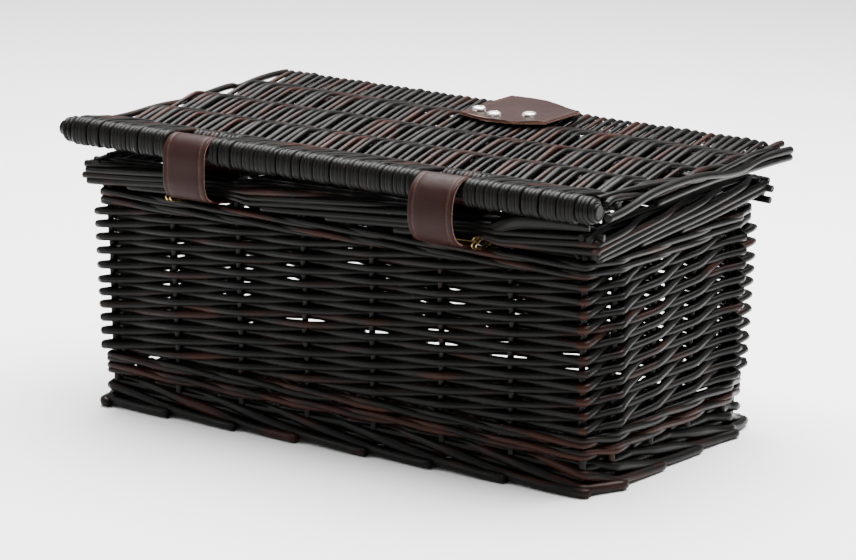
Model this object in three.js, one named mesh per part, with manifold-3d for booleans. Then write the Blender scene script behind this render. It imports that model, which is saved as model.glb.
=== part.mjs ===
// A lidded willow hamper. The woven basket is a set of stacked rings round 24 upright stakes, and the lid
// turns in two leather loops that hold its wrapped hinge rod to the top border. A leather flap hangs over
// the front edge of the lid and fastens on a turning knob.
//
// Lengths are in millimetres and +Z is up. X runs along the long sides, the hinge loops are on the -Y side
// and the closure is on the +Y side. Z = 0 is the surface that the hamper stands on.

import * as THREE from "three";
import { mergeVertices } from "three/addons/utils/BufferGeometryUtils.js";
import Module from "manifold-3d";

const wasm = await Module();
wasm.setup();

// ---- Driving dimensions ----

const GAP = 0.3; // running gap between neighbouring pieces

// Basket: half sizes of the weave's outer face at the foot and at the rim
const FOOT_HALF_X = 190;
const FOOT_HALF_Y = 100.5;
const RIM_HALF_X = 192;
const RIM_HALF_Y = 107.5;
const RIM_HEIGHT = 168;
const CORNER_RADIUS = 8;
const INNER_CORNER_RADIUS = 2;
const CORNER_STEPS = 4;

// Heights where one ring of the basket ends and the next begins
const FOOT_BORDER_TOP = 22;
const LOWER_WALING_TOP = 38;
const SIDE_WEAVE_TOP = 137;
const UPPER_WALING_TOP = 148;

const WEAVE_THICKNESS = 12;
const WALING_OUTSET = 1;
const BORDER_OUTSET = 2;
const FOOT_OUTSET = 3.5;
const BASE_BOTTOM = 7;
const BASE_TOP = 15;

// Stakes
const STAKE_RADIUS = 2;
const STAKE_SIDES = 8;
const STAKE_PASSAGE_RADIUS = 2.4;
const LONG_SIDE_STAKES = 8;
const SHORT_SIDE_STAKES = 4;
const LONG_SIDE_STAKE_SPACING = 51;
const SHORT_SIDE_STAKE_SPACING = 49;

// Lid: the hinge axis is the middle of the wrapped rod
const HINGE_Y = -120;
const LID_Z = 185;
const HINGE_ROD_RADIUS = 5.5;
const HINGE_ROD_SIDES = 12;
const WRAPPING_RADIUS = 8.8;
const WRAPPING_BORE = 5.9;
const THIN_WRAPPING_RADIUS = 6.9; // under the leather loops
const WRAPPING_SIDES = 16;
const LID_THICKNESS = 12;
const LID_WEAVE_BACK = -104;
const LID_WEAVE_LEFT = -186;
const LID_WEAVE_RIGHT = 184;
const FRONT_ROD_Y = 118;
const LID_STICK_RADIUS = 3;
const LID_STICK_BORE = 3.4;
const LID_STICK_SIDES = 8;
const LID_STICK_Y = [-94, -46, 8, 62];
const LID_HALF_LENGTH = 199;
const HINGE_ROD_LEFT = -201.5;
const HINGE_ROD_RIGHT = 200.5;
const WRAPPING_LEFT = -198;
const WRAPPING_RIGHT = 199.5;

// Rods that run along the two ends of the lid, in and out of the stick ends
const END_ROD_RADIUS = 2.5;
const END_ROD_SIDES = 8;
const END_ROD_RISE = 6.1; // how far an end rod passes over or under the middle of a stick
const END_ROD_OVERHANG = 3; // past the front rod
const INNER_END_ROD_SHORTFALL = 6; // the innermost one stops before the front rod
const LEFT_END_ROD_X = -193;
const RIGHT_END_ROD_X = [187.6, 193.2, 199];

// Leather hinge loops
const LEATHER = 2;
const LOOP_WIDTH = 32;
const LEFT_LOOP_X = -96.5;
const RIGHT_LOOP_X = 91;
const LOOP_HANG_Y = -130.7; // the middle of the leather where it hangs straight down from the rod
const LOOP_BULGE = 5.6; // how much further out a slack loop bulges
const LEFT_LOOP_SLACK = 0.1; // share of the bulge: this loop is nearly taut
const RIGHT_LOOP_SLACK = 1;
const LOOP_SLOT_MARGIN = 1.5;
const LOOP_STEPS = 44;
const PIN_RADIUS = 1;
const PIN_SIDES = 8;
const PIN_LENGTH = 46;
const PIN_Y = -113;
const PIN_Z = 152.4;

// Closure
const CLOSURE_X = 21.5;
const FLAP_WIDTH = 67;
const FLAP_LEATHER = 2.2;
const FLAP_BACK_Y = 60;
const FLAP_MOUNT_FRONT_Y = 124.4;
const FLAP_AXIS_Y = 126.7;
const FLAP_AXIS_Z = 190.5;
const FLAP_DROP = 78;
const FLAP_TIP_WIDTH = 44;
const FLAP_TIP_TAPER_HEIGHT = 22;
const FLAP_BACK_CORNER_WIDTH = 4;
const FLAP_BACK_CORNER_DEPTH = 3;
const KNOB_Z = 131;
const SLOT_HALF_WIDTH = 4.75;
const SLOT_HALF_HEIGHT = 9.5;
const SLOT_CORNER_RADIUS = 3;
const SLOT_PLATE_RIM = 4;
const SLOT_PLATE_CORNER_RADIUS = 6;
const SLOT_PLATE_THICKNESS = 1.1;
const PATCH_HALF_WIDTH = 24;
const PATCH_BOTTOM = 113;
const PATCH_TOP = 147.5;
const PATCH_STAND_OFF = 0.4;
const LOCK_PLATE_HALF_WIDTH = 12;
const LOCK_PLATE_HALF_HEIGHT = 9;
const LOCK_PLATE_CORNER_RADIUS = 4;
const LOCK_PLATE_BACK_Y = 109.6;
const LOCK_PLATE_THICKNESS = 1.2;
const KNOB_POST_RADIUS = 2.5;
const KNOB_POST_SIDES = 10;
const KNOB_POST_OVERLAP = 1; // how far the post runs into the knob
const KNOB_BACK_Y = 119.6;
const KNOB_FRONT_Y = 123.4;
const KNOB_HALF_LENGTH = 7.5;
const KNOB_HALF_WIDTH = 3;
const RIVET_HEAD_RADIUS = 5.3;
const RIVET_DOME = 2.4;
const RIVET_SHANK_RADIUS = 1.6;
const RIVET_CLEARANCE = 0.1;
const RIVET_SIDES = 12;
const RIVET_PLACES = [
  [-4, 71],
  [11, 65.5],
  [33, 74],
];

// The origin is under the middle of the overall length and depth, from the loops' bulge to the closure
const BACK_REACH = LOOP_BULGE - LOOP_HANG_Y + LEATHER / 2;
const FRONT_REACH = FLAP_AXIS_Y + FLAP_LEATHER / 2 + GAP + SLOT_PLATE_THICKNESS;
const CENTRE_SHIFT_Y = (BACK_REACH - FRONT_REACH) / 2;

// ---- Materials ----

const willow = (color) => new THREE.MeshStandardMaterial({ color, roughness: 0.5, metalness: 0 });
const leather = () => new THREE.MeshStandardMaterial({ color: 0x4a2c26, roughness: 0.55, metalness: 0 });
const nickel = () => new THREE.MeshStandardMaterial({ color: 0xd9d8d2, roughness: 0.25, metalness: 1 });
const brass = () => new THREE.MeshStandardMaterial({ color: 0xb5924c, roughness: 0.35, metalness: 1 });
const BLACK_WILLOW = 0x1d1a19;
const BROWN_WILLOW = 0x2c1f1b;

// ---- Shared geometry helpers ----

function mesh(name, geometry, material) {
  const piece = new THREE.Mesh(geometry, material);
  piece.name = name;
  return piece;
}

// The corners of a regular polygon, anticlockwise from the first axis
function polygon(centreA, centreB, radius, sides) {
  return Array.from({ length: sides }, (_, i) => {
    const angle = (2 * Math.PI * i) / sides;
    return new THREE.Vector2(centreA + radius * Math.cos(angle), centreB + radius * Math.sin(angle));
  });
}

// A rectangle with rounded corners, anticlockwise
function roundedRectangle(halfA, halfB, radius, steps) {
  const points = [];
  for (let corner = 0; corner < 4; corner++) {
    const signA = corner === 0 || corner === 3 ? 1 : -1;
    const signB = corner < 2 ? 1 : -1;
    for (let step = 0; step <= steps; step++) {
      const angle = (Math.PI / 2) * (corner + step / steps);
      const a = signA * (halfA - radius) + radius * Math.cos(angle);
      const b = signB * (halfB - radius) + radius * Math.sin(angle);
      points.push(new THREE.Vector2(a, b));
    }
  }
  return points;
}

// A solid between two levels. Each level has an outline (anticlockwise) and may have a hole (clockwise),
// so that the sides may lean.
function loft(low, high) {
  const positions = [];
  const triangles = [];
  const ringStarts = [];
  low.outlines.forEach((ring, r) => {
    ringStarts.push(positions.length / 3);
    ring.forEach((p) => positions.push(p.x, p.y, low.z));
    high.outlines[r].forEach((p) => positions.push(p.x, p.y, high.z));
  });
  low.outlines.forEach((ring, r) => {
    const start = ringStarts[r];
    const count = ring.length;
    for (let i = 0; i < count; i++) {
      const next = (i + 1) % count;
      triangles.push(start + i, start + next, start + count + next);
      triangles.push(start + i, start + count + next, start + count + i);
    }
  });
  const vertexOf = [];
  low.outlines.forEach((ring, r) => ring.forEach((_, i) => vertexOf.push([ringStarts[r] + i, ring.length])));
  const flat = low.outlines.flat();
  for (const face of THREE.ShapeUtils.triangulateShape(low.outlines[0], low.outlines.slice(1))) {
    const turn = THREE.ShapeUtils.area(face.map((i) => flat[i]));
    const [a, b, c] = turn > 0 ? face : [face[2], face[1], face[0]];
    triangles.push(vertexOf[c][0], vertexOf[b][0], vertexOf[a][0]);
    triangles.push(...[a, b, c].map((i) => vertexOf[i][0] + vertexOf[i][1]));
  }
  const geometry = new THREE.BufferGeometry();
  geometry.setAttribute("position", new THREE.Float32BufferAttribute(positions, 3));
  geometry.setIndex(triangles);
  return geometry;
}

// A profile drawn in (Y, Z) and extruded along X
function alongX(outline, holes, fromX, toX) {
  const shape = new THREE.Shape(outline);
  shape.holes = holes.map((hole) => new THREE.Path(hole));
  const geometry = new THREE.ExtrudeGeometry(shape, { depth: toX - fromX, bevelEnabled: false });
  const axes = new THREE.Matrix4().set(0, 0, 1, fromX, 1, 0, 0, 0, 0, 1, 0, 0, 0, 0, 0, 1);
  return geometry.applyMatrix4(axes);
}

// A profile drawn in (X, Z) and extruded along Y
function alongY(outline, holes, fromY, toY) {
  const shape = new THREE.Shape(outline);
  shape.holes = holes.map((hole) => new THREE.Path(hole));
  const geometry = new THREE.ExtrudeGeometry(shape, { depth: toY - fromY, bevelEnabled: false });
  const axes = new THREE.Matrix4().set(1, 0, 0, 0, 0, 0, -1, toY, 0, 1, 0, 0, 0, 0, 0, 1);
  return geometry.applyMatrix4(axes);
}

// A straight round rod along X
function rodAlongX(name, radius, sides, fromX, toX, y, z, material) {
  const rod = mesh(name, new THREE.CylinderGeometry(radius, radius, toX - fromX, sides), material);
  rod.rotation.z = Math.PI / 2;
  rod.position.set((fromX + toX) / 2, y, z);
  return rod;
}

function toSolid(geometry) {
  const bare = geometry.clone();
  bare.deleteAttribute("normal");
  bare.deleteAttribute("uv");
  const merged = mergeVertices(bare, 1e-4);
  const vertProperties = new Float32Array(merged.attributes.position.array);
  const triVerts = new Uint32Array(merged.index.array);
  return new wasm.Manifold(new wasm.Mesh({ numProp: 3, vertProperties, triVerts }));
}

function toGeometry(solid) {
  const result = solid.getMesh();
  const geometry = new THREE.BufferGeometry();
  geometry.setAttribute("position", new THREE.Float32BufferAttribute(result.vertProperties, 3));
  geometry.setIndex(Array.from(result.triVerts));
  return geometry;
}

// ---- Basket walls ----

// Half sizes of the weave's outer face: the walls lean out a little towards the rim
function wallHalfSizes(z) {
  const share = z / RIM_HEIGHT;
  return {
    x: THREE.MathUtils.lerp(FOOT_HALF_X, RIM_HALF_X, share),
    y: THREE.MathUtils.lerp(FOOT_HALF_Y, RIM_HALF_Y, share),
  };
}

function wallOutline(z, inset) {
  const half = wallHalfSizes(z);
  const radius = Math.max(CORNER_RADIUS - inset, INNER_CORNER_RADIUS);
  return roundedRectangle(half.x - inset, half.y - inset, radius, CORNER_STEPS);
}

// Each stake stands in the middle of the weave's thickness
const stakes = [];
for (let i = 0; i < LONG_SIDE_STAKES; i++) {
  const along = (i - (LONG_SIDE_STAKES - 1) / 2) * LONG_SIDE_STAKE_SPACING;
  stakes.push({ name: `stake_back_${i + 1}`, onLongSide: true, side: -1, along });
  stakes.push({ name: `stake_front_${i + 1}`, onLongSide: true, side: 1, along });
}
for (let i = 0; i < SHORT_SIDE_STAKES; i++) {
  const along = (i - (SHORT_SIDE_STAKES - 1) / 2) * SHORT_SIDE_STAKE_SPACING;
  stakes.push({ name: `stake_left_${i + 1}`, onLongSide: false, side: -1, along });
  stakes.push({ name: `stake_right_${i + 1}`, onLongSide: false, side: 1, along });
}

function stakeCentre(stake, z) {
  const half = wallHalfSizes(z);
  const middle = (stake.onLongSide ? half.y : half.x) - WEAVE_THICKNESS / 2;
  return stake.onLongSide ? [stake.along, stake.side * middle] : [stake.side * middle, stake.along];
}

// The passage runs a little beyond both ends of the ring that it is cut from
function stakePassage(stake, bottom, top) {
  const levelAt = (z) => ({ z, outlines: [polygon(...stakeCentre(stake, z), STAKE_PASSAGE_RADIUS, STAKE_SIDES)] });
  return toSolid(loft(levelAt(bottom - 1), levelAt(top + 1)));
}

function wallRing(bottom, top, outset) {
  const levelAt = (z) => ({ z, outlines: [wallOutline(z, -outset), wallOutline(z, WEAVE_THICKNESS).reverse()] });
  return loft(levelAt(bottom), levelAt(top));
}

function ringRoundStakes(bottom, top, outset) {
  let ring = toSolid(wallRing(bottom, top, outset));
  for (const stake of stakes) ring = ring.subtract(stakePassage(stake, bottom, top));
  return toGeometry(ring);
}

function stakeMesh(stake) {
  const levelAt = (z) => ({ z, outlines: [polygon(...stakeCentre(stake, z), STAKE_RADIUS, STAKE_SIDES)] });
  const geometry = loft(levelAt(FOOT_BORDER_TOP + GAP), levelAt(UPPER_WALING_TOP));
  return mesh(stake.name, geometry, willow(BLACK_WILLOW));
}

function basePanel() {
  const levelAt = (z) => ({ z, outlines: [wallOutline(z, WEAVE_THICKNESS + GAP)] });
  return mesh("base_panel", loft(levelAt(BASE_BOTTOM), levelAt(BASE_TOP)), willow(BROWN_WILLOW));
}

// The top border has a notch underneath where each leather loop goes through to the inside
function topBorder() {
  const bottom = UPPER_WALING_TOP + GAP;
  const notchHeight = 3.2;
  const notchWidth = LOOP_WIDTH + 2 * LOOP_SLOT_MARGIN;
  let ring = toSolid(wallRing(bottom, RIM_HEIGHT, BORDER_OUTSET));
  for (const loopX of [LEFT_LOOP_X, RIGHT_LOOP_X]) {
    const notch = new THREE.BoxGeometry(notchWidth, 3 * WEAVE_THICKNESS, 2 * notchHeight);
    notch.translate(loopX, -RIM_HALF_Y, bottom);
    ring = ring.subtract(toSolid(notch));
  }
  return mesh("top_border", toGeometry(ring), willow(BLACK_WILLOW));
}

function basketWalls() {
  const footBorder = wallRing(0, FOOT_BORDER_TOP, FOOT_OUTSET);
  const lowerWaling = ringRoundStakes(FOOT_BORDER_TOP + GAP, LOWER_WALING_TOP, WALING_OUTSET);
  const sideWeave = ringRoundStakes(LOWER_WALING_TOP + GAP, SIDE_WEAVE_TOP, 0);
  const upperWaling = ringRoundStakes(SIDE_WEAVE_TOP + GAP, UPPER_WALING_TOP, 0);
  return [
    basePanel(),
    mesh("foot_border", footBorder, willow(BLACK_WILLOW)),
    mesh("lower_waling", lowerWaling, willow(BROWN_WILLOW)),
    mesh("side_weave", sideWeave, willow(BLACK_WILLOW)),
    mesh("upper_waling", upperWaling, willow(BLACK_WILLOW)),
    topBorder(),
    ...stakes.map(stakeMesh),
  ];
}

// ---- Leather hinge loops ----

// One closed band: over the lid's hinge rod, out in a loose bulge, in under the top border, up inside the
// basket and through the slot behind the rod. The points are the middle of the leather, as (Y, Z).
function loopPath(slack) {
  const bulge = LOOP_BULGE * slack;
  const points = [
    [-108.9, 178.0],
    [-110.5, 186.3],
    [-113.6, 191.6],
    [-119.8, 193.8],
    [-126.3 - 0.2 * bulge, 191.8],
    [LOOP_HANG_Y - 0.6 * bulge, 185.0],
    [LOOP_HANG_Y - bulge, 172.0],
    [LOOP_HANG_Y + 0.4 - 0.75 * bulge, 161.5],
    [-127.0 - 0.3 * bulge, 153.6],
    [-118.0, 150.2],
    [-106.0, 149.7],
    [-94.5, 149.8],
    [-91.0, 154.5],
    [-91.2, 163.5],
    [-95.5, 170.8],
    [-102.0, 173.8],
  ];
  return new THREE.CatmullRomCurve3(points.map(([y, z]) => new THREE.Vector3(y, z, 0)), true);
}

function hingeLoop(name, centreX, slack) {
  const path = loopPath(slack);
  const outer = [];
  const inner = [];
  for (let i = 0; i < LOOP_STEPS; i++) {
    const share = i / LOOP_STEPS;
    const middle = path.getPointAt(share);
    const ahead = path.getTangentAt(share);
    const side = new THREE.Vector2(ahead.y, -ahead.x).multiplyScalar(LEATHER / 2);
    outer.push(new THREE.Vector2(middle.x + side.x, middle.y + side.y));
    inner.push(new THREE.Vector2(middle.x - side.x, middle.y - side.y));
  }
  const band = alongX(outer, [inner], centreX - LOOP_WIDTH / 2, centreX + LOOP_WIDTH / 2);
  return mesh(name, band, leather());
}

function hingeLoops() {
  const pin = (name, x) =>
    rodAlongX(name, PIN_RADIUS, PIN_SIDES, x - PIN_LENGTH / 2, x + PIN_LENGTH / 2, PIN_Y, PIN_Z, brass());
  return [
    hingeLoop("hinge_loop_left", LEFT_LOOP_X, LEFT_LOOP_SLACK),
    hingeLoop("hinge_loop_right", RIGHT_LOOP_X, RIGHT_LOOP_SLACK),
    pin("loop_pin_left", LEFT_LOOP_X),
    pin("loop_pin_right", RIGHT_LOOP_X),
  ];
}

// ---- Lid ----

// The weavers' ends wrapped round the hinge rod. Beside the loops the wrapping joins on to the weave by a
// tab; under the loops it is a plain sleeve, which leaves the slot that the leather goes through.
function wrappingSection(name, fromX, toX, hasTab) {
  const radius = hasTab ? WRAPPING_RADIUS : THIN_WRAPPING_RADIUS;
  const halfHeight = LID_THICKNESS / 2;
  const opening = hasTab ? Math.asin(halfHeight / radius) : 0;
  const outline = [];
  for (let i = 0; i < WRAPPING_SIDES + (hasTab ? 1 : 0); i++) {
    const angle = opening + ((2 * Math.PI - 2 * opening) * i) / WRAPPING_SIDES;
    const y = HINGE_Y + radius * Math.cos(angle);
    outline.push(new THREE.Vector2(y, LID_Z + radius * Math.sin(angle)));
  }
  if (hasTab) {
    outline.push(new THREE.Vector2(LID_WEAVE_BACK - GAP, LID_Z - halfHeight));
    outline.push(new THREE.Vector2(LID_WEAVE_BACK - GAP, LID_Z + halfHeight));
  }
  const bore = polygon(HINGE_Y, LID_Z, WRAPPING_BORE, HINGE_ROD_SIDES);
  return mesh(name, alongX(outline, [bore], fromX, toX), willow(BLACK_WILLOW));
}

function lidWrapping() {
  const slotHalf = LOOP_WIDTH / 2 + LOOP_SLOT_MARGIN;
  const edges = [
    WRAPPING_LEFT,
    LEFT_LOOP_X - slotHalf,
    LEFT_LOOP_X + slotHalf,
    RIGHT_LOOP_X - slotHalf,
    RIGHT_LOOP_X + slotHalf,
    WRAPPING_RIGHT + GAP,
  ];
  const sections = [];
  for (let i = 0; i < edges.length - 1; i++) {
    sections.push(wrappingSection(`lid_wrapping_${i + 1}`, edges[i], edges[i + 1] - GAP, i % 2 === 0));
  }
  return sections;
}

// The woven panel has a passage for each stick and for the front rod, and a rounded front edge where the
// weavers turn back
function lidWeave() {
  const half = LID_THICKNESS / 2;
  const outline = [new THREE.Vector2(LID_WEAVE_BACK, LID_Z + half), new THREE.Vector2(LID_WEAVE_BACK, LID_Z - half)];
  const edgeSteps = 6;
  for (let i = 0; i <= edgeSteps; i++) {
    const angle = -Math.PI / 2 + (Math.PI * i) / edgeSteps;
    outline.push(new THREE.Vector2(FRONT_ROD_Y + half * Math.cos(angle), LID_Z + half * Math.sin(angle)));
  }
  const rodPlaces = [...LID_STICK_Y, FRONT_ROD_Y];
  const bores = rodPlaces.map((y) => polygon(y, LID_Z, LID_STICK_BORE, LID_STICK_SIDES));
  return mesh("lid_weave", alongX(outline, bores, LID_WEAVE_LEFT, LID_WEAVE_RIGHT), willow(BROWN_WILLOW));
}

// An end rod passes over one stick end and under the next
function endRod(name, x, fromY, toY, firstOver) {
  const crossings = [...LID_STICK_Y, FRONT_ROD_Y];
  const points = [new THREE.Vector3(x, fromY, LID_Z)];
  crossings.forEach((y, i) => {
    const over = (i % 2 === 0) === firstOver;
    if (y < toY) points.push(new THREE.Vector3(x, y, LID_Z + (over ? END_ROD_RISE : -END_ROD_RISE)));
  });
  points.push(new THREE.Vector3(x, toY, points[points.length - 1].z));
  const shape = new THREE.Shape(polygon(0, 0, END_ROD_RADIUS, END_ROD_SIDES));
  const extrudePath = new THREE.CatmullRomCurve3(points);
  const geometry = new THREE.ExtrudeGeometry(shape, { steps: 5 * points.length, bevelEnabled: false, extrudePath });
  return mesh(name, geometry, willow(BLACK_WILLOW));
}

function lidEndRods() {
  const [inner, middle, outer] = RIGHT_END_ROD_X;
  const clearOfWrapping = LID_WEAVE_BACK + 1;
  const front = FRONT_ROD_Y + END_ROD_OVERHANG;
  return [
    endRod("lid_end_rod_left", LEFT_END_ROD_X, clearOfWrapping, front, false),
    endRod("lid_end_rod_right_1", inner, clearOfWrapping, FRONT_ROD_Y - INNER_END_ROD_SHORTFALL, true),
    endRod("lid_end_rod_right_2", middle, clearOfWrapping, front, false),
    endRod("lid_end_rod_right_3", outer, clearOfWrapping, front, true),
  ];
}

function lid() {
  const stick = (name, y) =>
    rodAlongX(name, LID_STICK_RADIUS, LID_STICK_SIDES, -LID_HALF_LENGTH, LID_HALF_LENGTH, y, LID_Z, willow(BLACK_WILLOW));
  const hingeRod = rodAlongX(
    "lid_hinge_rod", HINGE_ROD_RADIUS, HINGE_ROD_SIDES, HINGE_ROD_LEFT, HINGE_ROD_RIGHT, HINGE_Y, LID_Z,
    willow(BROWN_WILLOW));
  return [
    hingeRod,
    stick("lid_front_rod", FRONT_ROD_Y),
    ...LID_STICK_Y.map((y, i) => stick(`lid_stick_${i + 1}`, y)),
    ...lidWrapping(),
    lidWeave(),
    ...lidEndRods(),
  ];
}

// ---- Closure ----

const LID_TOP = LID_Z + LID_THICKNESS / 2;
const FLAP_BOTTOM = LID_TOP + GAP;

// The part of the flap that is riveted on top of the lid
function flapMount() {
  const half = FLAP_WIDTH / 2;
  const halfBack = half - FLAP_BACK_CORNER_WIDTH;
  const cornerY = FLAP_BACK_Y + FLAP_BACK_CORNER_DEPTH;
  const outline = [
    new THREE.Vector2(CLOSURE_X - half, cornerY),
    new THREE.Vector2(CLOSURE_X - halfBack, FLAP_BACK_Y),
    new THREE.Vector2(CLOSURE_X + halfBack, FLAP_BACK_Y),
    new THREE.Vector2(CLOSURE_X + half, cornerY),
    new THREE.Vector2(CLOSURE_X + half, FLAP_MOUNT_FRONT_Y),
    new THREE.Vector2(CLOSURE_X - half, FLAP_MOUNT_FRONT_Y),
  ];
  const shape = new THREE.Shape(outline);
  shape.holes = RIVET_PLACES.map(([x, y]) => new THREE.Path(polygon(x, y, RIVET_SHANK_RADIUS + GAP, 8)));
  const geometry = new THREE.ExtrudeGeometry(shape, { depth: FLAP_LEATHER, bevelEnabled: false });
  geometry.translate(0, 0, FLAP_BOTTOM);
  return mesh("flap_mount", geometry, leather());
}

// Domed rivet head with its shank through the leather
function rivet(name, x, y) {
  const seat = FLAP_LEATHER + RIVET_CLEARANCE;
  const profile = [
    new THREE.Vector2(0, RIVET_CLEARANCE),
    new THREE.Vector2(RIVET_SHANK_RADIUS, RIVET_CLEARANCE),
    new THREE.Vector2(RIVET_SHANK_RADIUS, seat),
    new THREE.Vector2(RIVET_HEAD_RADIUS, seat),
    new THREE.Vector2(RIVET_HEAD_RADIUS * 0.94, seat + RIVET_DOME * 0.4),
    new THREE.Vector2(RIVET_HEAD_RADIUS * 0.6, seat + RIVET_DOME * 0.85),
    new THREE.Vector2(0, seat + RIVET_DOME),
  ];
  const head = mesh(name, new THREE.LatheGeometry(profile, RIVET_SIDES), nickel());
  head.rotation.x = Math.PI / 2;
  head.position.set(x, y, FLAP_BOTTOM);
  return head;
}

function slotOutline() {
  return roundedRectangle(SLOT_HALF_WIDTH, SLOT_HALF_HEIGHT, SLOT_CORNER_RADIUS, 2)
    .map((p) => new THREE.Vector2(p.x + CLOSURE_X, p.y + KNOB_Z));
}

// The hanging part of the flap, narrower at its tip, with a slot for the knob
function flapTail() {
  const half = FLAP_WIDTH / 2;
  const halfTip = FLAP_TIP_WIDTH / 2;
  const tip = FLAP_AXIS_Z - FLAP_DROP;
  const taperTop = tip + FLAP_TIP_TAPER_HEIGHT;
  const outline = [
    new THREE.Vector2(CLOSURE_X - half, FLAP_AXIS_Z),
    new THREE.Vector2(CLOSURE_X - half, taperTop),
    new THREE.Vector2(CLOSURE_X - halfTip, tip),
    new THREE.Vector2(CLOSURE_X + halfTip, tip),
    new THREE.Vector2(CLOSURE_X + half, taperTop),
    new THREE.Vector2(CLOSURE_X + half, FLAP_AXIS_Z),
  ];
  const back = FLAP_AXIS_Y - FLAP_LEATHER / 2;
  return mesh("flap_tail", alongY(outline, [slotOutline()], back, back + FLAP_LEATHER), leather());
}

function slotPlate() {
  const outline = roundedRectangle(
    SLOT_HALF_WIDTH + SLOT_PLATE_RIM, SLOT_HALF_HEIGHT + SLOT_PLATE_RIM, SLOT_PLATE_CORNER_RADIUS, 3);
  const placed = outline.map((p) => new THREE.Vector2(p.x + CLOSURE_X, p.y + KNOB_Z));
  const back = FLAP_AXIS_Y + FLAP_LEATHER / 2 + GAP;
  return mesh("flap_slot_plate", alongY(placed, [slotOutline()], back, back + SLOT_PLATE_THICKNESS), nickel());
}

// Leather patch against the front wall, following its lean
function closurePatch() {
  const levelAt = (z) => {
    const back = wallHalfSizes(z).y + PATCH_STAND_OFF;
    const left = CLOSURE_X - PATCH_HALF_WIDTH;
    const right = CLOSURE_X + PATCH_HALF_WIDTH;
    const corners = [[left, back], [right, back], [right, back + FLAP_LEATHER], [left, back + FLAP_LEATHER]];
    return { z, outlines: [corners.map(([x, y]) => new THREE.Vector2(x, y))] };
  };
  return mesh("closure_patch", loft(levelAt(PATCH_BOTTOM), levelAt(PATCH_TOP)), leather());
}

function lockPlate() {
  const outline = roundedRectangle(LOCK_PLATE_HALF_WIDTH, LOCK_PLATE_HALF_HEIGHT, LOCK_PLATE_CORNER_RADIUS, 3)
    .map((p) => new THREE.Vector2(p.x + CLOSURE_X, p.y + KNOB_Z));
  const front = LOCK_PLATE_BACK_Y + LOCK_PLATE_THICKNESS;
  return mesh("lock_plate", alongY(outline, [], LOCK_PLATE_BACK_Y, front), nickel());
}

// Oval knob on a round post; it stands upright, in line with the slot, so the flap lifts off it
function turnKnob() {
  const oval = roundedRectangle(KNOB_HALF_WIDTH, KNOB_HALF_LENGTH, KNOB_HALF_WIDTH - 0.01, 4)
    .map((p) => new THREE.Vector2(p.x + CLOSURE_X, p.y + KNOB_Z));
  const head = toSolid(alongY(oval, [], KNOB_BACK_Y, KNOB_FRONT_Y));
  const postBack = LOCK_PLATE_BACK_Y + LOCK_PLATE_THICKNESS + GAP;
  const postOutline = polygon(CLOSURE_X, KNOB_Z, KNOB_POST_RADIUS, KNOB_POST_SIDES);
  const post = toSolid(alongY(postOutline, [], postBack, KNOB_BACK_Y + KNOB_POST_OVERLAP));
  return mesh("turn_knob", toGeometry(head.add(post)), nickel());
}

function closure() {
  return [
    flapMount(),
    ...RIVET_PLACES.map(([x, y], i) => rivet(`flap_rivet_${i + 1}`, x, y)),
    flapTail(),
    slotPlate(),
    closurePatch(),
    lockPlate(),
    turnKnob(),
  ];
}

// ---- Whole hamper ----

const hamper = new THREE.Group();
hamper.name = "hamper";
hamper.add(...basketWalls(), ...hingeLoops(), ...lid(), ...closure());
hamper.position.y = CENTRE_SHIFT_Y;

export default hamper;
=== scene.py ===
"""Looks of the lidded willow hamper: every rod of the weave, the leather and the metal fittings."""

import math
import random

import bpy
import numpy as np
from mathutils import Matrix, Vector


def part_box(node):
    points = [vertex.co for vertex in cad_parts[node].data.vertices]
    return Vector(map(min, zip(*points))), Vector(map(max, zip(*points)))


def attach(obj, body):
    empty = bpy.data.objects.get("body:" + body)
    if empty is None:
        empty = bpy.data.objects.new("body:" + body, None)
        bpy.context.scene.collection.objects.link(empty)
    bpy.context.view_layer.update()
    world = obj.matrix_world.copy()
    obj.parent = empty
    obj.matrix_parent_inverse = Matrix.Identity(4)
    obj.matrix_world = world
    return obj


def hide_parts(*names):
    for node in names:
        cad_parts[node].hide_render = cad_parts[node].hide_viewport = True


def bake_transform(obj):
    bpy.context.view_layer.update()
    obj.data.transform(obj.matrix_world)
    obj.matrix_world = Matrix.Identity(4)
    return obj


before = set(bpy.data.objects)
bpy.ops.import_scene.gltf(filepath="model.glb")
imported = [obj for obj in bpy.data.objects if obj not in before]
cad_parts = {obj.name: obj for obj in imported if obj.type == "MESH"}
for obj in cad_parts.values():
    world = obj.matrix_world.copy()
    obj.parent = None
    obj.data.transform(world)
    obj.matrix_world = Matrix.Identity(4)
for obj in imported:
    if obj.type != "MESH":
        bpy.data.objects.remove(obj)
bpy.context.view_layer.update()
MM = 0.001
UP = (0, 0, 1)

# ---- Places and sizes taken from the frame ----


def middle(node, axis):
    low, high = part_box(node)
    return (low[axis] + high[axis]) / 2


FOOT_LOW, FOOT_HIGH = (np.array(corner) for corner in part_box("foot_border"))
RIM_LOW, RIM_HIGH = (np.array(corner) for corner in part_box("top_border"))
WEAVE_LOW, WEAVE_HIGH = (np.array(corner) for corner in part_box("side_weave"))
BASE_LOW, BASE_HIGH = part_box("base_panel")
WALING_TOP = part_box("upper_waling")[1][2]
CENTRE_Y = (WEAVE_LOW[1] + WEAVE_HIGH[1]) / 2
STAKE_LINE_INSET = 6 * MM
FOOT_OUTSET = 3.5 * MM
RIM_OUTSET = 2 * MM

STAKE_RADIUS = 2.15 * MM
ROD_RADIUS = 2.62 * MM
WALE_RADIUS = 2.2 * MM
BORDER_RADIUS = 2.6 * MM
FOOT_ROD_RADIUS = 3.3 * MM

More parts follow.
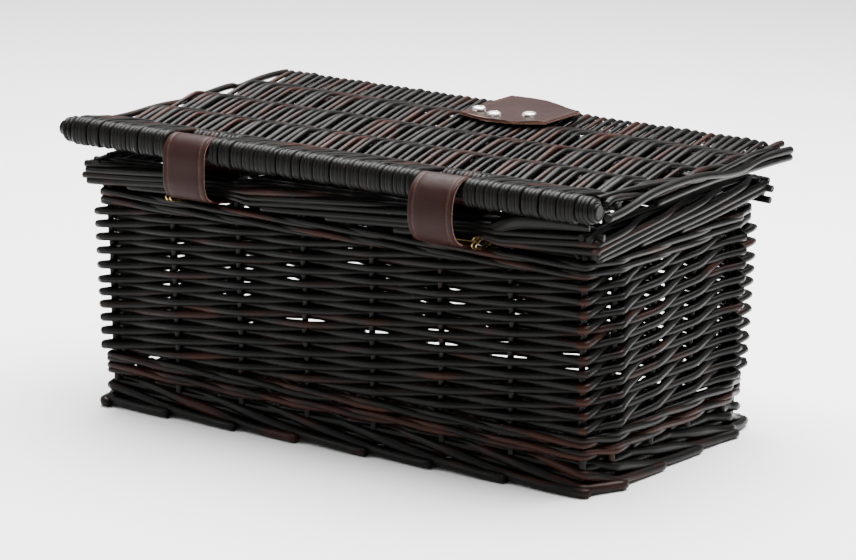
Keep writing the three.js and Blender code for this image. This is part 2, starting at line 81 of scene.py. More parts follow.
HINGE_Y = middle("lid_hinge_rod", 1)
LID_Z = middle("lid_hinge_rod", 2)
FRONT_ROD_Y = middle("lid_front_rod", 1)
STICK_Y = [middle(f"lid_stick_{i}", 1) for i in range(1, 5)]
LID_WEAVE_LOW, LID_WEAVE_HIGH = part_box("lid_weave")
LID_LOW_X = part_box("lid_stick_1")[0][0]
LID_HIGH_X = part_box("lid_stick_1")[1][0]
LOOPS = {side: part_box(f"hinge_loop_{side}") for side in ("left", "right")}
FLAP_LOW, FLAP_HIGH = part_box("flap_mount")
CLOSURE_X = middle("turn_knob", 0)
KNOB_Z = middle("turn_knob", 2)


# ---- Shared helpers ----


def new_object(name, data):
    piece = bpy.data.objects.new(name, data)
    bpy.context.collection.objects.link(piece)
    return piece


def finish_piece(piece, body, slot, *nodes):
    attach(piece, body)
    if nodes:
        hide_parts(*nodes)


def unit(vectors):
    return vectors / np.linalg.norm(vectors, axis=-1)[..., None]


def ease(t):
    return t * t * (3 - 2 * t)


def wave(rng, terms, period):
    """A smooth repeating random curve of about unit height."""
    parts = [(rng.uniform(-1, 1), rng.uniform(0, 2 * math.pi), k + 1) for k in range(terms)]
    scale = 1 / math.sqrt(terms / 3)
    return lambda u: scale * sum(a * np.sin(2 * math.pi * k * u / period + p) for a, p, k in parts)


def through(knots, values, u):
    """A smooth curve that is level at each knot."""
    knots = np.asarray(knots, float)
    values = np.asarray(values, float)
    i = np.clip(np.searchsorted(knots, u, side="right") - 1, 0, len(knots) - 2)
    t = np.clip((u - knots[i]) / (knots[i + 1] - knots[i]), 0, 1)
    return values[i] + (values[i + 1] - values[i]) * ease(t)


def spline(points, steps):
    """A smooth (Catmull-Rom) curve through points. The first and the last only steer it."""
    curve = []
    t = np.linspace(0, 1, steps, endpoint=False)[:, None]
    for a, b, c, d in zip(points, points[1:], points[2:], points[3:]):
        curve.append(b + 0.5 * t * (c - a) + t**2 * (a - 2.5 * b + 2 * c - 0.5 * d)
                     + t**3 * (-0.5 * a + 1.5 * b - 1.5 * c + 0.5 * d))
    return np.vstack(curve)


def rounded_path(points, steps):
    points = np.asarray(points, float)
    steered = np.vstack([2 * points[0] - points[1], points, 2 * points[-1] - points[-2]])
    return np.vstack([spline(steered, steps), points[-1]])


def closed_curve(points, steps):
    points = np.asarray(points, float)
    return spline(np.vstack([points[-1], points, points[0], points[1]]), steps)


# ---- Rods: round tubes gathered into one mesh per piece ----


class Bundle:
    """Many rods in one mesh. Each vertex keeps its place along and across its own rod, for the grain."""

    def __init__(self, seed):
        self.random = random.Random(seed)
        self.places = []
        self.spaces = []
        self.tones = []
        self.faces = []
        self.smooth = []
        self.count = 0

    def rod(self, points, radius, reference, sides=10, tone=None, flatten=1.0):
        """A rod along points. radius and tone are one number or one per point; reference is a direction
        that the rod never runs along, or one per point. flatten thins the rod across the reference."""
        points = np.asarray(points, float)
        steps = len(points)
        radii = np.broadcast_to(np.asarray(radius, float), (steps,))
        reference = np.broadcast_to(np.asarray(reference, float), (steps, 3))
        ahead = unit(np.gradient(points, axis=0))
        first = unit(reference - (reference * ahead).sum(1)[:, None] * ahead)
        second = np.cross(ahead, first)
        angle = np.linspace(0, 2 * math.pi, sides, endpoint=False)
        across = np.stack([np.cos(angle), np.sin(angle)], 1)
        ring = first[:, None] * across[None, :, :1] + second[:, None] * across[None, :, 1:] * flatten
        places = points[:, None] + ring * radii[:, None, None]
        length = np.concatenate([[0], np.cumsum(np.linalg.norm(np.diff(points, axis=0), axis=1))])
        start = self.random.uniform(0, 20)
        tone = np.broadcast_to(self.random.random() if tone is None else tone, (steps,))
        spaces = np.zeros((steps, sides, 3))
        spaces[..., 0] = start + length[:, None]
        spaces[..., 1:] = across[None] * radii[:, None, None]
        index = self.count + np.arange(steps * sides).reshape(steps, sides)
        beside = np.roll(index, -1, axis=1)
        quads = np.stack([index[:-1], beside[:-1], beside[1:], index[1:]], -1).reshape(-1, 4)
        self.faces.extend(quads.tolist())
        self.smooth.extend([True] * len(quads))
        self.places.append(places.reshape(-1, 3))
        self.spaces.append(spaces.reshape(-1, 3))
        self.tones.append(np.repeat(tone, sides))
        self.count += steps * sides
        self.end(places[0], points[0], -ahead[0] * radii[0], spaces[0], tone[0], index[0][::-1])
        self.end(places[-1], points[-1], ahead[-1] * radii[-1], spaces[-1], tone[-1], index[-1])

    def end(self, ring, centre, outward, spaces, tone, index):
        """A cut end: a narrow chamfer and a flat face."""
        sides = len(index)
        order = range(sides) if index[0] < index[-1] else range(sides)[::-1]
        self.places.append(centre + (ring - centre) * 0.84 + outward * 0.14)
        self.spaces.append(spaces)
        self.tones.append(np.full(sides, tone))
        inner = [self.count + i for i in order]
        self.count += sides
        for i in range(sides):
            j = (i + 1) % sides
            self.faces.append([int(index[i]), int(index[j]), inner[j], inner[i]])
        self.faces.append(inner)
        self.smooth.extend([False] * (sides + 1))

    def build(self, name, material):
        mesh = bpy.data.meshes.new(name)
        mesh.from_pydata(np.concatenate(self.places).tolist(), [], self.faces)
        mesh.polygons.foreach_set("use_smooth", self.smooth)
        space = mesh.attributes.new("rod_space", "FLOAT_VECTOR", "POINT")
        space.data.foreach_set("vector", np.concatenate(self.spaces).ravel())
        tone = mesh.attributes.new("rod_tone", "FLOAT", "POINT")
        tone.data.foreach_set("value", np.concatenate(self.tones))
        mesh.materials.append(material)
        mesh.update()
        return new_object(name, mesh)


# ---- The way round the basket ----


def half_sizes(z):
    """Half sizes of the line that the stakes stand on, at height z."""
    foot_z, rim_z = FOOT_HIGH[2], RIM_HIGH[2]
    share = (np.asarray(z) - foot_z) / (rim_z - foot_z)
    foot = (FOOT_HIGH - FOOT_LOW)[:2] / 2 - FOOT_OUTSET - STAKE_LINE_INSET
    rim = (RIM_HIGH - RIM_LOW)[:2] / 2 - RIM_OUTSET - STAKE_LINE_INSET
    return foot[0] + (rim[0] - foot[0]) * share, foot[1] + (rim[1] - foot[1]) * share


# The stakes in their order round the basket, and where they stand at the middle of the weave's height
SIDE_STAKES = {"back": 8, "right": 4, "front": 8, "left": 4}
STAKES = ([f"stake_back_{i}" for i in range(1, 9)] + [f"stake_right_{i}" for i in range(1, 5)]
          + [f"stake_front_{i}" for i in range(8, 0, -1)] + [f"stake_left_{i}" for i in range(4, 0, -1)])
ROUND = len(STAKES)
STAKE_PLACES = np.array([(middle(name, 0), middle(name, 1) - CENTRE_Y) for name in STAKES + STAKES[:1]])
STEP_OUT = unit(np.stack([np.diff(STAKE_PLACES[:, 1]), -np.diff(STAKE_PLACES[:, 0])], 1))
CORNER_STAKES = [STAKES.index(f"stake_{side}_{end}")
                 for side, count in SIDE_STAKES.items() for end in (1, count)]
MIDDLE_HALF_X, MIDDLE_HALF_Y = half_sizes((WEAVE_LOW[2] + WEAVE_HIGH[2]) / 2)
TURN_SHARE = 0.3


def on_wall(u, z, out):
    """Points on the wall, and the outward direction at each: u counts stakes round the basket, z is the
    height, out is how far outside the stake line. The rods run straight from stake to stake, so the
    basket's corners are cut off."""
    u = np.asarray(u, float)
    within = np.mod(u, ROUND)
    stake = np.minimum(np.floor(within).astype(int), ROUND - 1)
    part = (within - stake)[..., None]
    place = STAKE_PLACES[stake] * (1 - part) + STAKE_PLACES[stake + 1] * part
    here, before, after = STEP_OUT[stake], STEP_OUT[stake - 1], STEP_OUT[(stake + 1) % ROUND]
    outward = unit(here + before * np.clip(1 - part / TURN_SHARE, 0, 1)
                   + after * np.clip(1 - (1 - part) / TURN_SHARE, 0, 1))
    half_x, half_y = half_sizes(z)
    x = place[..., 0] * half_x / MIDDLE_HALF_X + outward[..., 0] * out
    y = CENTRE_Y + place[..., 1] * half_y / MIDDLE_HALF_Y + outward[..., 1] * out
    places = np.stack([x, y, np.broadcast_to(z, u.shape)], -1)
    return places, np.stack([outward[..., 0], outward[..., 1], np.zeros_like(u)], -1)


# ---- Materials ----


class Look:
    """A material and the nodes that it is built from."""

    def __init__(self, name):
        self.material = bpy.data.materials.new(name)
        self.material.use_nodes = True
        self.nodes = self.material.node_tree.nodes
        self.shader = self.nodes["Principled BSDF"].inputs

    def feed(self, socket, value):
        """Gives a socket a number, a direction, a colour or another node's output."""
        if isinstance(value, bpy.types.NodeSocket):
            self.material.node_tree.links.new(value, socket)
        elif socket.type == "RGBA":
            socket.default_value = (*value, 1)
        else:
            socket.default_value = value

    def put(self, inputs, **values):
        for name, value in values.items():
            self.feed(inputs[name.replace("_", " ")], value)

    def attribute(self, name, output="Fac"):
        node = self.nodes.new("ShaderNodeAttribute")
        node.attribute_name = name
        return node.outputs[output]

    def place(self):
        return self.nodes.new("ShaderNodeTexCoord").outputs["Object"]

    def stretched(self, vector, scale):
        node = self.nodes.new("ShaderNodeMapping")
        self.put(node.inputs, Vector=vector, Scale=scale)
        return node.outputs["Vector"]

    def noise(self, vector, scale, detail=3.0, roughness=0.5):
        node = self.nodes.new("ShaderNodeTexNoise")
        self.put(node.inputs, Vector=vector, Scale=scale, Detail=detail, Roughness=roughness)
        return node.outputs["Fac"]

    def ramp(self, amount, *stops):
        """Colours, or greys given as one number, by the amount."""
        node = self.nodes.new("ShaderNodeValToRGB")
        elements = node.color_ramp.elements
        while len(elements) < len(stops):
            elements.new(0.5)
        for element, (place, color) in zip(elements, stops):
            element.position = place
            element.color = (*color, 1) if isinstance(color, tuple) else (color, color, color, 1)
        self.put(node.inputs, Fac=amount)
        return node.outputs["Color"]

    def math(self, operation, first, second):
        node = self.nodes.new("ShaderNodeMath")
        node.operation = operation
        for socket, value in zip(node.inputs, (first, second)):
            self.feed(socket, value)
        return node.outputs[0]

    def mix(self, amount, first, second):
        node = self.nodes.new("ShaderNodeMix")
        node.data_type = "RGBA"
        sockets = (node.inputs["Factor"], node.inputs[6], node.inputs[7])
        for socket, value in zip(sockets, (amount, first, second)):
            self.feed(socket, value)
        return node.outputs[2]

    def bump(self, height, strength, distance):
        node = self.nodes.new("ShaderNodeBump")
        self.put(node.inputs, Height=height, Strength=strength, Distance=distance)
        self.put(self.shader, Normal=node.outputs["Normal"])


def willow(name, red_share):
    """Stained willow: near-black, with rods and stretches where the red-brown bark shows, long fine grain
    and a satin skin."""
    look = Look(name)
    space = look.attribute("rod_space", "Vector")
    grain = look.noise(look.stretched(space, (30, 900, 900)), 1.0, 4.0, 0.6)
    patch = look.noise(look.stretched(space, (22, 60, 60)), 1.0, 2.0)
    fleck = look.noise(look.stretched(space, (260, 500, 500)), 1.0, 2.0)
    dark = look.ramp(grain, (0.0, (0.0018, 0.0017, 0.0015)), (0.55, (0.0042, 0.0039, 0.0035)),
                     (1.0, (0.0125, 0.011, 0.0097)))
    red = look.ramp(grain, (0.0, (0.009, 0.0034, 0.0025)), (0.6, (0.026, 0.0085, 0.0055)),
                    (1.0, (0.065, 0.024, 0.015)))
    redness = look.math("ADD", patch, look.math("MULTIPLY", look.attribute("rod_tone"), 0.34))
    is_red = look.ramp(redness, (0.80 - 0.30 * red_share, 0), (0.98 - 0.30 * red_share, 1))
    is_worn = look.ramp(fleck, (0.72, 0), (0.80, 1))
    color = look.mix(is_worn, look.mix(is_red, dark, red), (0.055, 0.038, 0.028))
    gloss = look.ramp(grain, (0.25, 0.27), (0.8, 0.45))
    look.put(look.shader, Base_Color=color, Roughness=gloss, Specular_IOR_Level=0.10)
    look.bump(grain, 0.35, 0.0004)
    return look.material


def leather(name):
    """Smooth leather with fine wrinkles, and pricked lines where a strap's creases are."""
    look = Look(name)
    position = look.place()
    pores = look.noise(position, 1500, 3.0, 0.6)
    wrinkles = look.noise(position, 350, 4.0, 0.6)
    broad = look.noise(position, 60)
    tint = look.ramp(broad, (0.3, (0.0095, 0.0030, 0.0023)), (0.7, (0.019, 0.0064, 0.0050)))
    mottled = look.mix(wrinkles, tint, (0.018, 0.0062, 0.0052))
    line = look.math("MULTIPLY", look.attribute("strap_crease"), look.ramp(pores, (0.44, 0.15), (0.58, 1)))
    color = look.mix(line, mottled, (0.056, 0.024, 0.018))
    gloss = look.ramp(wrinkles, (0.3, 0.40), (0.75, 0.58))
    look.put(look.shader, Base_Color=color, Roughness=gloss, Specular_IOR_Level=0.10)
    look.bump(look.math("ADD", look.math("MULTIPLY", pores, 0.4), wrinkles), 0.22, 0.0003)
    return look.material


def leather_edge(name):
    look = Look(name)
    fibres = look.noise(look.place(), 900, 4.0, 0.7)
    tint = look.ramp(fibres, (0.3, (0.09, 0.036, 0.026)), (0.7, (0.29, 0.14, 0.10)))
    look.put(look.shader, Base_Color=tint, Roughness=0.7)
    look.bump(fibres, 0.5, 0.0003)
    return look.material


def metal(name, low, high, gloss_low, gloss_high):
    look = Look(name)
    position = look.place()
    scratches = look.noise(look.stretched(position, (300, 900, 300)), 1.0, 4.0, 0.7)
    dents = look.noise(position, 420, 2.0)
    tint = look.ramp(dents, (0.3, low), (0.7, high))
    gloss = look.ramp(scratches, (0.3, gloss_low), (0.8, gloss_high))
    look.put(look.shader, Base_Color=tint, Roughness=gloss, Metallic=1.0)
    look.bump(dents, 0.5, 0.0008)
    return look.material


WILLOW_WALL = willow("willow_wall", 0.05)
WILLOW_FOOT = willow("willow_foot", 0.35)
WILLOW_LID = willow("willow_lid", 0.30)
LEATHER = leather("leather_brown")
LEATHER_EDGE = leather_edge("leather_cut_edge")
NICKEL = metal("nickel_plate", (0.66, 0.65, 0.62), (0.86, 0.85, 0.82), 0.24, 0.46)
BRASS = metal("brass_wire", (0.52, 0.36, 0.13), (0.70, 0.50, 0.20), 0.25, 0.45)


# ---- Basket ----

STEPS_PER_STAKE = 16
WEAVE_ROWS = 22
OVER = STAKE_RADIUS + ROD_RADIUS - 0.6 * MM
ROD_TUCK = 0.45  # share of a stake interval over which a rod's end tucks in
CORNER_OUT = 4.8 * MM
NUB_CORNER_OUT = 2.2 * MM
NUB_STAKE = STAKES.index("stake_back_8")  # where red knots show at the corner nearest the camera

level_rng = random.Random(4)
LEVELS = [wave(level_rng, 7, ROUND) for _ in range(5)]


def level_shift(u, z):
    """Neighbouring rows rise and dip together, by a different amount at each height."""
    last = len(LEVELS) - 1
    share = (z - WEAVE_LOW[2]) / (WEAVE_HIGH[2] - WEAVE_LOW[2]) * last
    low = np.clip(np.floor(share).astype(int), 0, last - 1)
    part = share - low
    shifts = np.array([level(u) for level in LEVELS])
    column = np.arange(len(u))
    shift = shifts[low, column] * (1 - part) + shifts[low + 1, column] * part
    return shift * np.clip(2 * np.minimum(share, last - share), 0, 1)


def stakes():
    steps = 30
    for side, count in SIDE_STAKES.items():
        bundle = Bundle(f"stakes {side}")
        names = [f"stake_{side}_{i}" for i in range(1, count + 1)]
        for name in names:
            z = np.linspace(BASE_LOW[2], WALING_TOP + 6 * MM, steps)
            sway = wave(bundle.random, 4, steps)
            places, outward = on_wall(STAKES.index(name) + 0.012 * sway(np.arange(steps)), z, 0.0)
            bundle.rod(places, np.linspace(1.08, 0.94, steps) * STAKE_RADIUS, outward)
        finish_piece(bundle.build(f"stakes_{side}", WILLOW_WALL), "basket", "willow_black", *names)


def over_under(u, phase):
    """Nearly straight runs between the stakes, with a short bend round each: 1 outside, -1 inside."""
    sharpness = 0.975
    return np.arcsin(sharpness * np.cos(math.pi * (u + phase))) / math.asin(sharpness)


def corner_out(u):
    """How far the outer rods stick out at the stakes next to the corners."""
    within = np.mod(u, ROUND)
    away = [np.abs((within - stake + ROUND / 2) % ROUND - ROUND / 2) for stake in CORNER_STAKES]
    bulge = np.clip(1 - np.min(away, axis=0) / 0.34, 0, 1) ** 1.5
    at_nub_corner = np.abs(within - NUB_STAKE - 0.5) < 1.2
    return np.where(at_nub_corner, NUB_CORNER_OUT, CORNER_OUT) * bulge


def weave_rod(bundle, first, bottom, top, pitch):
    """One long rod of the slanting weave: it starts at the bottom, behind stake number first, and climbs
    by its own thickness at each stake that it passes, until it reaches the top."""
    rng = bundle.random
    start, end = first - 0.3, first + WEAVE_ROWS + 0.3
    u = np.linspace(start, end, int((end - start) * STEPS_PER_STAKE) + 1)
    side = over_under(u, first + 1)
    start_tuck = 1.6 * MM * np.clip((ROD_TUCK - (u - start)) / ROD_TUCK, 0, 1)
    end_tuck = 3.4 * MM * np.clip((ROD_TUCK - (end - u)) / ROD_TUCK, 0, 1)
    out = OVER * side + corner_out(u) * np.clip(side + 0.35, 0, 1) - start_tuck - end_tuck
    own = wave(rng, 9, ROUND)
    height = bottom + (u - first) * pitch
    height += 1.0 * MM * level_shift(u, np.clip(height, bottom, top)) + 0.26 * MM * own(u)
    places, _ = on_wall(u, np.clip(height, bottom + 0.45 * pitch, top - 0.45 * pitch), out)
    taper = np.linspace(rng.uniform(1.0, 1.08), rng.uniform(0.9, 0.98), len(u))
    radius = ROD_RADIUS * taper * (1 + 0.04 * own(u * 3.1)) * (1 + 0.12 * np.clip(-side, 0, 1))
    nub = np.clip(1 - np.abs(np.mod(u, ROUND) - NUB_STAKE) / 0.1, 0, 1) * (side > 0.4)
    bundle.rod(places, radius * (1 + 0.12 * nub), UP, 9, rng.random() + 1.3 * nub)


def side_weave():
    bottom, top = WEAVE_LOW[2], WEAVE_HIGH[2]
    pitch = (top - bottom) / WEAVE_ROWS
    groups = 3
    for group in range(groups):
        bundle = Bundle(f"side weave {group}")
        for first in range(group * ROUND // groups, (group + 1) * ROUND // groups):
            weave_rod(bundle, first, bottom, top, pitch)
        nodes = ["side_weave"] if group == 0 else []
        rods = bundle.build(f"side_weave_rods_{group + 1}", WILLOW_WALL)
        finish_piece(rods, "basket", "willow_black", *nodes)


def wale_round(bundle, z, rise):
    """Three rods, each in front of two stakes and behind one, sloping down as it goes."""
    reach = STAKE_RADIUS + WALE_RADIUS
    for start in range(3):
        knots = np.arange(start - 1, start + ROUND + 2)
        place = (knots - start) % 3
        outs = np.where(place == 0, -reach, reach)
        heights = np.where(place == 0, -rise * 0.2, np.where(place == 1, rise, -rise))
        u = np.linspace(start, start + ROUND, ROUND * STEPS_PER_STAKE + 1)
        own = wave(bundle.random, 8, ROUND)
        height = z + through(knots, heights, u) + 0.35 * MM * own(u)
        places, _ = on_wall(u, height, through(knots, outs, u))
        bundle.rod(places, WALE_RADIUS * (1 + 0.04 * own(u * 2.3)), UP)


def waling(level, rise, material, slot):
    """Two rounds that fill the height of their CAD ring."""
    bundle = Bundle(f"{level} waling")
    low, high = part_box(f"{level}_waling")
    height = (high[2] - low[2]) / 2
    for i in range(2):
        wale_round(bundle, low[2] + (i + 0.5) * height, rise)
    finish_piece(bundle.build(f"{level}_waling_rods", material), "basket", slot, f"{level}_waling")


# For each side of the top border, the direction that its rods run in and the outward direction. Seen from
# above the rods run clockwise.
BORDER_RUN = {"back": ((-1, 0), (0, -1)), "left": ((0, 1), (-1, 0)),
              "front": ((1, 0), (0, 1)), "right": ((0, -1), (1, 0))}
BORDER_REACH = STAKE_RADIUS + BORDER_RADIUS


def border_half_sizes(side):
    """Half the length of a side along the stakes, and how far out its stakes stand."""
    half_x, half_y = half_sizes(RIM_HIGH[2])
    return (half_x, half_y) if side in ("back", "front") else (half_y, half_x)


def border_places(side, along, out, rise):
    """Points of the top border: along a side, out from its stakes and up from the border's foot."""
    travel, outward = np.array(BORDER_RUN[side], float)
    flat = travel * along[:, None] + outward * (border_half_sizes(side)[1] + out)[:, None]
    return np.stack([flat[:, 0], flat[:, 1] + CENTRE_Y, RIM_LOW[2] + rise], 1)


def loop_lift(x, side):
    """1 where a leather loop passes under the border, 0 elsewhere."""
    lift = np.zeros_like(x)
    if side == "back":
        for low, high in LOOPS.values():
            beyond = np.maximum(np.maximum(low[0] - x, x - high[0]), 0)
            lift = np.maximum(lift, ease(np.clip(1 - (beyond - 2 * MM) / (16 * MM), 0, 1)))
    return lift


def border_rod(bundle, side, start, interval, starts_before_corner):
    """A stake's rod rises, leans over behind the next stake, crosses to the outside past two more, sinking
    as it goes, and ends in a square cut. At a corner the rods of a side are cut off."""
    rng = bundle.random
    knots = np.array([0.0, 0.15, 0.6, 1.0, 1.5, 2.05, 3.0, 4.0, 5.0, 5.6]) + rng.uniform(-0.04, 0.04)
    outs = np.array([0, -0.4, -0.95, -1.0, -0.1, 1.05, 1.2, 1.15, 1.05, 0.95]) * BORDER_REACH
    rises = np.array([1, 9.5, 15.6, 16.0, 16.4, 15.4, 11.8, 8.0, 4.4, 3.0]) * MM
    rises += np.array([rng.uniform(-0.6, 0.6) for _ in rises]) * MM
    outs += np.array([rng.uniform(-0.4, 0.4) for _ in outs]) * MM
    curve = rounded_path(np.stack([knots, outs, rises], 1), 12)
    along = start + curve[:, 0] * interval
    half_along, _ = border_half_sizes(side)
    start_cut = -half_along - 5 * MM - rng.uniform(0, 4) * MM
    end_cut = half_along + 10.5 * MM + rng.uniform(-3.5, 1.5) * MM
    keep = (along > start_cut) & (along < end_cut)
    if starts_before_corner:
        keep &= curve[:, 1] > -0.5 * BORDER_REACH
    if keep.sum() < 6:
        return
    rise = curve[keep, 2]
    places = border_places(side, along[keep], curve[keep, 1], rise)
    sunk = 1 - np.clip((rise - 3 * MM) / (13 * MM), 0, 1)
    places[:, 2] += 3.6 * MM * loop_lift(places[:, 0], side) * sunk
    radius = np.linspace(1.0, 0.88, len(places)) * BORDER_RADIUS * rng.uniform(0.92, 1.08)
    bundle.rod(places, radius, (*BORDER_RUN[side][1], 0.02))


def border_core(bundle, side):
    """Rods that run behind the plaited ones. Each has a height and a lean, in millimetres."""
    half_along, _ = border_half_sizes(side)
    for level, lean in ((1.0, 0.5), (4.5, 1.6), (9.6, -1.8), (14.2, 0.8), (18.0, -0.6)):
        along = np.linspace(-half_along + 3 * MM, half_along - 3 * MM, 60)
        sway = wave(bundle.random, 4, 0.4)
        rise = level * MM + lean * MM * along / half_along + 0.8 * MM * sway(along)
        places = border_places(side, along, 0.4 * MM * sway(along + 0.1) - BORDER_REACH, rise)
        give = 3.0 * MM * (level < 6) - 5.0 * MM * (level > 12)
        places[:, 2] += give * loop_lift(places[:, 0], side)
        bundle.rod(places, BORDER_RADIUS * 0.9, UP)


def border_loose_end(bundle):
    """A stout rod that rises out of the back border and ends in a slanting cut under the hinge rod."""
    knots = [(96, -103.5, 154), (116, -106.5, 160.5), (137, -111.5, 168.4), (160, -113, 171.2),
             (189, -113, 172)]
    places = rounded_path([(x * MM, y * MM + CENTRE_Y, z * MM) for x, y, z in knots], 8)
    radius = np.interp(places[:, 0] / MM, [96, 137, 150, 189], [3.4, 4.6, 4.8, 2.4]) * MM
    bundle.rod(places, radius, (0, -0.25, 1), tone=0.2, flatten=0.55)


def top_border():
    for side in ("back", "left", "front", "right"):
        bundle = Bundle(f"top border {side}")
        travel = np.array(BORDER_RUN[side][0], float)
        stake_places = [(middle(f"stake_{side}_{i + 1}", 0), middle(f"stake_{side}_{i + 1}", 1) - CENTRE_Y)
                        for i in range(SIDE_STAKES[side])]
        along = sorted(float(place @ travel) for place in np.array(stake_places))
        interval = along[1] - along[0]
        for k in range(-4, len(along)):
            border_rod(bundle, side, along[0] + k * interval, interval, k < 0)
        border_core(bundle, side)
        if side == "back":
            border_loose_end(bundle)
        nodes = ["top_border"] if side == "back" else []
        rods = bundle.build(f"top_border_rods_{side}", WILLOW_WALL)
        finish_piece(rods, "basket", "willow_black", *nodes)


def foot_rod(bundle, stake):
    """It comes out between two stakes, slopes down outside past the next ones, and ends flat on the surface
    that the basket stands on, under the rod that follows it."""
    rng = bundle.random
    radius = FOOT_ROD_RADIUS * rng.uniform(0.93, 1.06)
    knots = np.array([-0.4, 0.1, 0.55, 1.1, 1.6, 2.0, 2.5, 3.02 + rng.uniform(-0.1, 0.1)])
    outs = np.array([-3.4, -5.0, -1.6, 2.6, 3.4, 3.8, 6.2, 8.2])
    outs += [rng.uniform(-0.3, 0.3) for _ in knots]
    heights = np.array([19.5, 18.6, 16.6, 13.0, 8.6, 5.2, 3.6, 3.2])
    heights += [rng.uniform(-0.4, 0.4) for _ in knots]
    u, out, height = rounded_path(np.stack([stake + knots, outs * MM, heights * MM], 1), 9).T
    out = out + 0.5 * corner_out(u) * (out > 0)
    places, outward = on_wall(u, np.maximum(height, radius + 0.1 * MM), out)
    radii = np.full(len(places), radius)
    radii[-2:] *= np.array([0.95, 0.86])
    places[-2:, 2] -= radius * np.array([0.05, 0.14])
    bundle.rod(places, radii, outward)


def foot_border():
    bundle = Bundle("foot border")
    for stake in range(ROUND):
        foot_rod(bundle, stake)
    for height, out in ((4.2, -0.6), (10.2, -1.2), (16.0, -1.8)):
        u = np.linspace(0, ROUND, ROUND * STEPS_PER_STAKE + 1)
        own = wave(bundle.random, 9, ROUND)
        places, _ = on_wall(u, (height + 0.5 * own(u)) * MM, out * MM)
        bundle.rod(places, FOOT_ROD_RADIUS * 0.95, UP, tone=0.0)
    finish_piece(bundle.build("foot_border_rods", WILLOW_FOOT), "basket", "willow_black", "foot_border")


def base_weave():
    """Sticks across the basket, with rods woven along it."""
    bundle = Bundle("base")
    low_x, low_y, low_z = BASE_LOW
    high_x, high_y, high_z = BASE_HIGH
    z = (low_z + high_z) / 2
    stick_radius, rod_radius = 2.6 * MM, 1.6 * MM
    stick_x = np.linspace(low_x + 10 * MM, high_x - 10 * MM, 15)
    for x in stick_x:
        y = np.linspace(low_y, high_y, 30)
        bundle.rod(np.stack([np.full(30, x), y, np.full(30, z)], 1), stick_radius, UP)
    x = np.linspace(low_x, high_x, 120)
    knots = np.concatenate([[low_x - 20 * MM], stick_x, [high_x + 20 * MM]])
    for row, y in enumerate(np.arange(low_y + 3 * MM, high_y - 2 * MM, 3.7 * MM)):
        rises = [(-1) ** (k + row) * (stick_radius + rod_radius - 0.4 * MM) for k in range(len(knots))]
        own = wave(bundle.random, 6, 0.4)
        places = np.stack([x, y + 0.4 * MM * own(x), z + through(knots, rises, x)], 1)
        bundle.rod(places, rod_radius, (0, 1, 0), 8)
    finish_piece(bundle.build("base_weave_rods", WILLOW_FOOT), "basket", "willow_brown", "base_panel")


stakes()
side_weave()
waling("lower", 1.5 * MM, WILLOW_FOOT, "willow_brown")
waling("upper", 0.7 * MM, WILLOW_WALL, "willow_black")
top_border()
foot_border()
base_weave()


# ---- Lid ----

WEAVER_RADIUS = 1.78 * MM
STICK_RADIUS = 3.7 * MM
FRONT_RADIUS = 2.6 * MM
HINGE_CORE_RADIUS = 5.0 * MM
WRAP_LIFT = 1.2 * MM
WEAVER_SPACING = 3.1 * MM
LOOP_CLEARANCE = 1.2 * MM
CROSSING_RISE = STICK_RADIUS + WEAVER_RADIUS - 0.1 * MM
LID_SIDE_FALL = 0.0085
LID_FRONT_FALL = 2.0 * MM


def lid_level(x, y):
    """The middle of the lid's thickness: it sits a little lower to the right and to the front."""
    forward = (y - HINGE_Y) / (FRONT_ROD_Y - HINGE_Y)
    return LID_Z - LID_SIDE_FALL * x - LID_FRONT_FALL * forward * (0.8 + x / (LID_HIGH_X - LID_LOW_X))


def under_loop(x):
    return any(low[0] - LOOP_CLEARANCE < x < high[0] + LOOP_CLEARANCE for low, high in LOOPS.values())


def boxy(angle):
    """A round that is a little flattened on its four sides."""
    c, s = math.cos(angle), math.sin(angle)
    return math.copysign(abs(c) ** 0.68, c), math.copysign(abs(s) ** 0.68, s)


def round_stick(x, level, sign):
    """A weaver's end behind a leather loop, where it turns round the first stick."""
    turn = STICK_RADIUS + WEAVER_RADIUS
    degrees = (-60, -110, -150, 180, 140, 100) if sign > 0 else (60, 110, 150, 180, 220, 260)
    angles = [math.radians(angle) for angle in degrees]
    return [(x, STICK_Y[0] + turn * math.cos(angle), level + turn * math.sin(angle)) for angle in angles]


def hinge_side(x, wrap_x, sign, rng):
    """A weaver's end: wrapped round the hinge rod from underneath, or, behind a leather loop, round the
    first stick."""
    level = lid_level(x, HINGE_Y)
    if under_loop(x):
        return round_stick(x, level, sign)
    level += WRAP_LIFT
    wrap = HINGE_CORE_RADIUS + WEAVER_RADIUS * rng.uniform(0.85, 1.3)
    tail = rng.uniform(15, 21) * MM
    places = [(wrap_x + 0.4 * MM, HINGE_Y + tail, level - wrap * 1.02),
              (wrap_x + 0.2 * MM, HINGE_Y + tail * 0.5, level - wrap * 1.04)]
    aside = x - wrap_x
    for angle in range(270, 89, -20):
        c, s = boxy(math.radians(angle))
        share = max(0, (150 - angle) / 60)
        places.append((wrap_x + aside * 0.3 * share, HINGE_Y + wrap * c, level + wrap * s))
    places.append((wrap_x + aside * 0.6, HINGE_Y + wrap * 0.9, level + wrap * (0.80 + 0.15 * sign)))
    return places


def flap_sag(x, y):
    """The riveted end of the closing flap bows down between its corners and the front right corner
    droops over the edge of the lid."""
    across = (x - CLOSURE_X) / (FLAP_HIGH[0] - FLAP_LOW[0]) * 2
    back = np.clip(1 - (y - FLAP_LOW[1]) / (30 * MM), 0, 1.2)
    front = np.clip((y - FLAP_LOW[1] - 38 * MM) / (24 * MM), 0, 1)
    middle_share = np.clip(1 - (across + 0.15) ** 2, 0, 1)
    return back * middle_share * 2.2 * MM + front * np.clip(across + 0.25, 0, 1) * 4.4 * MM


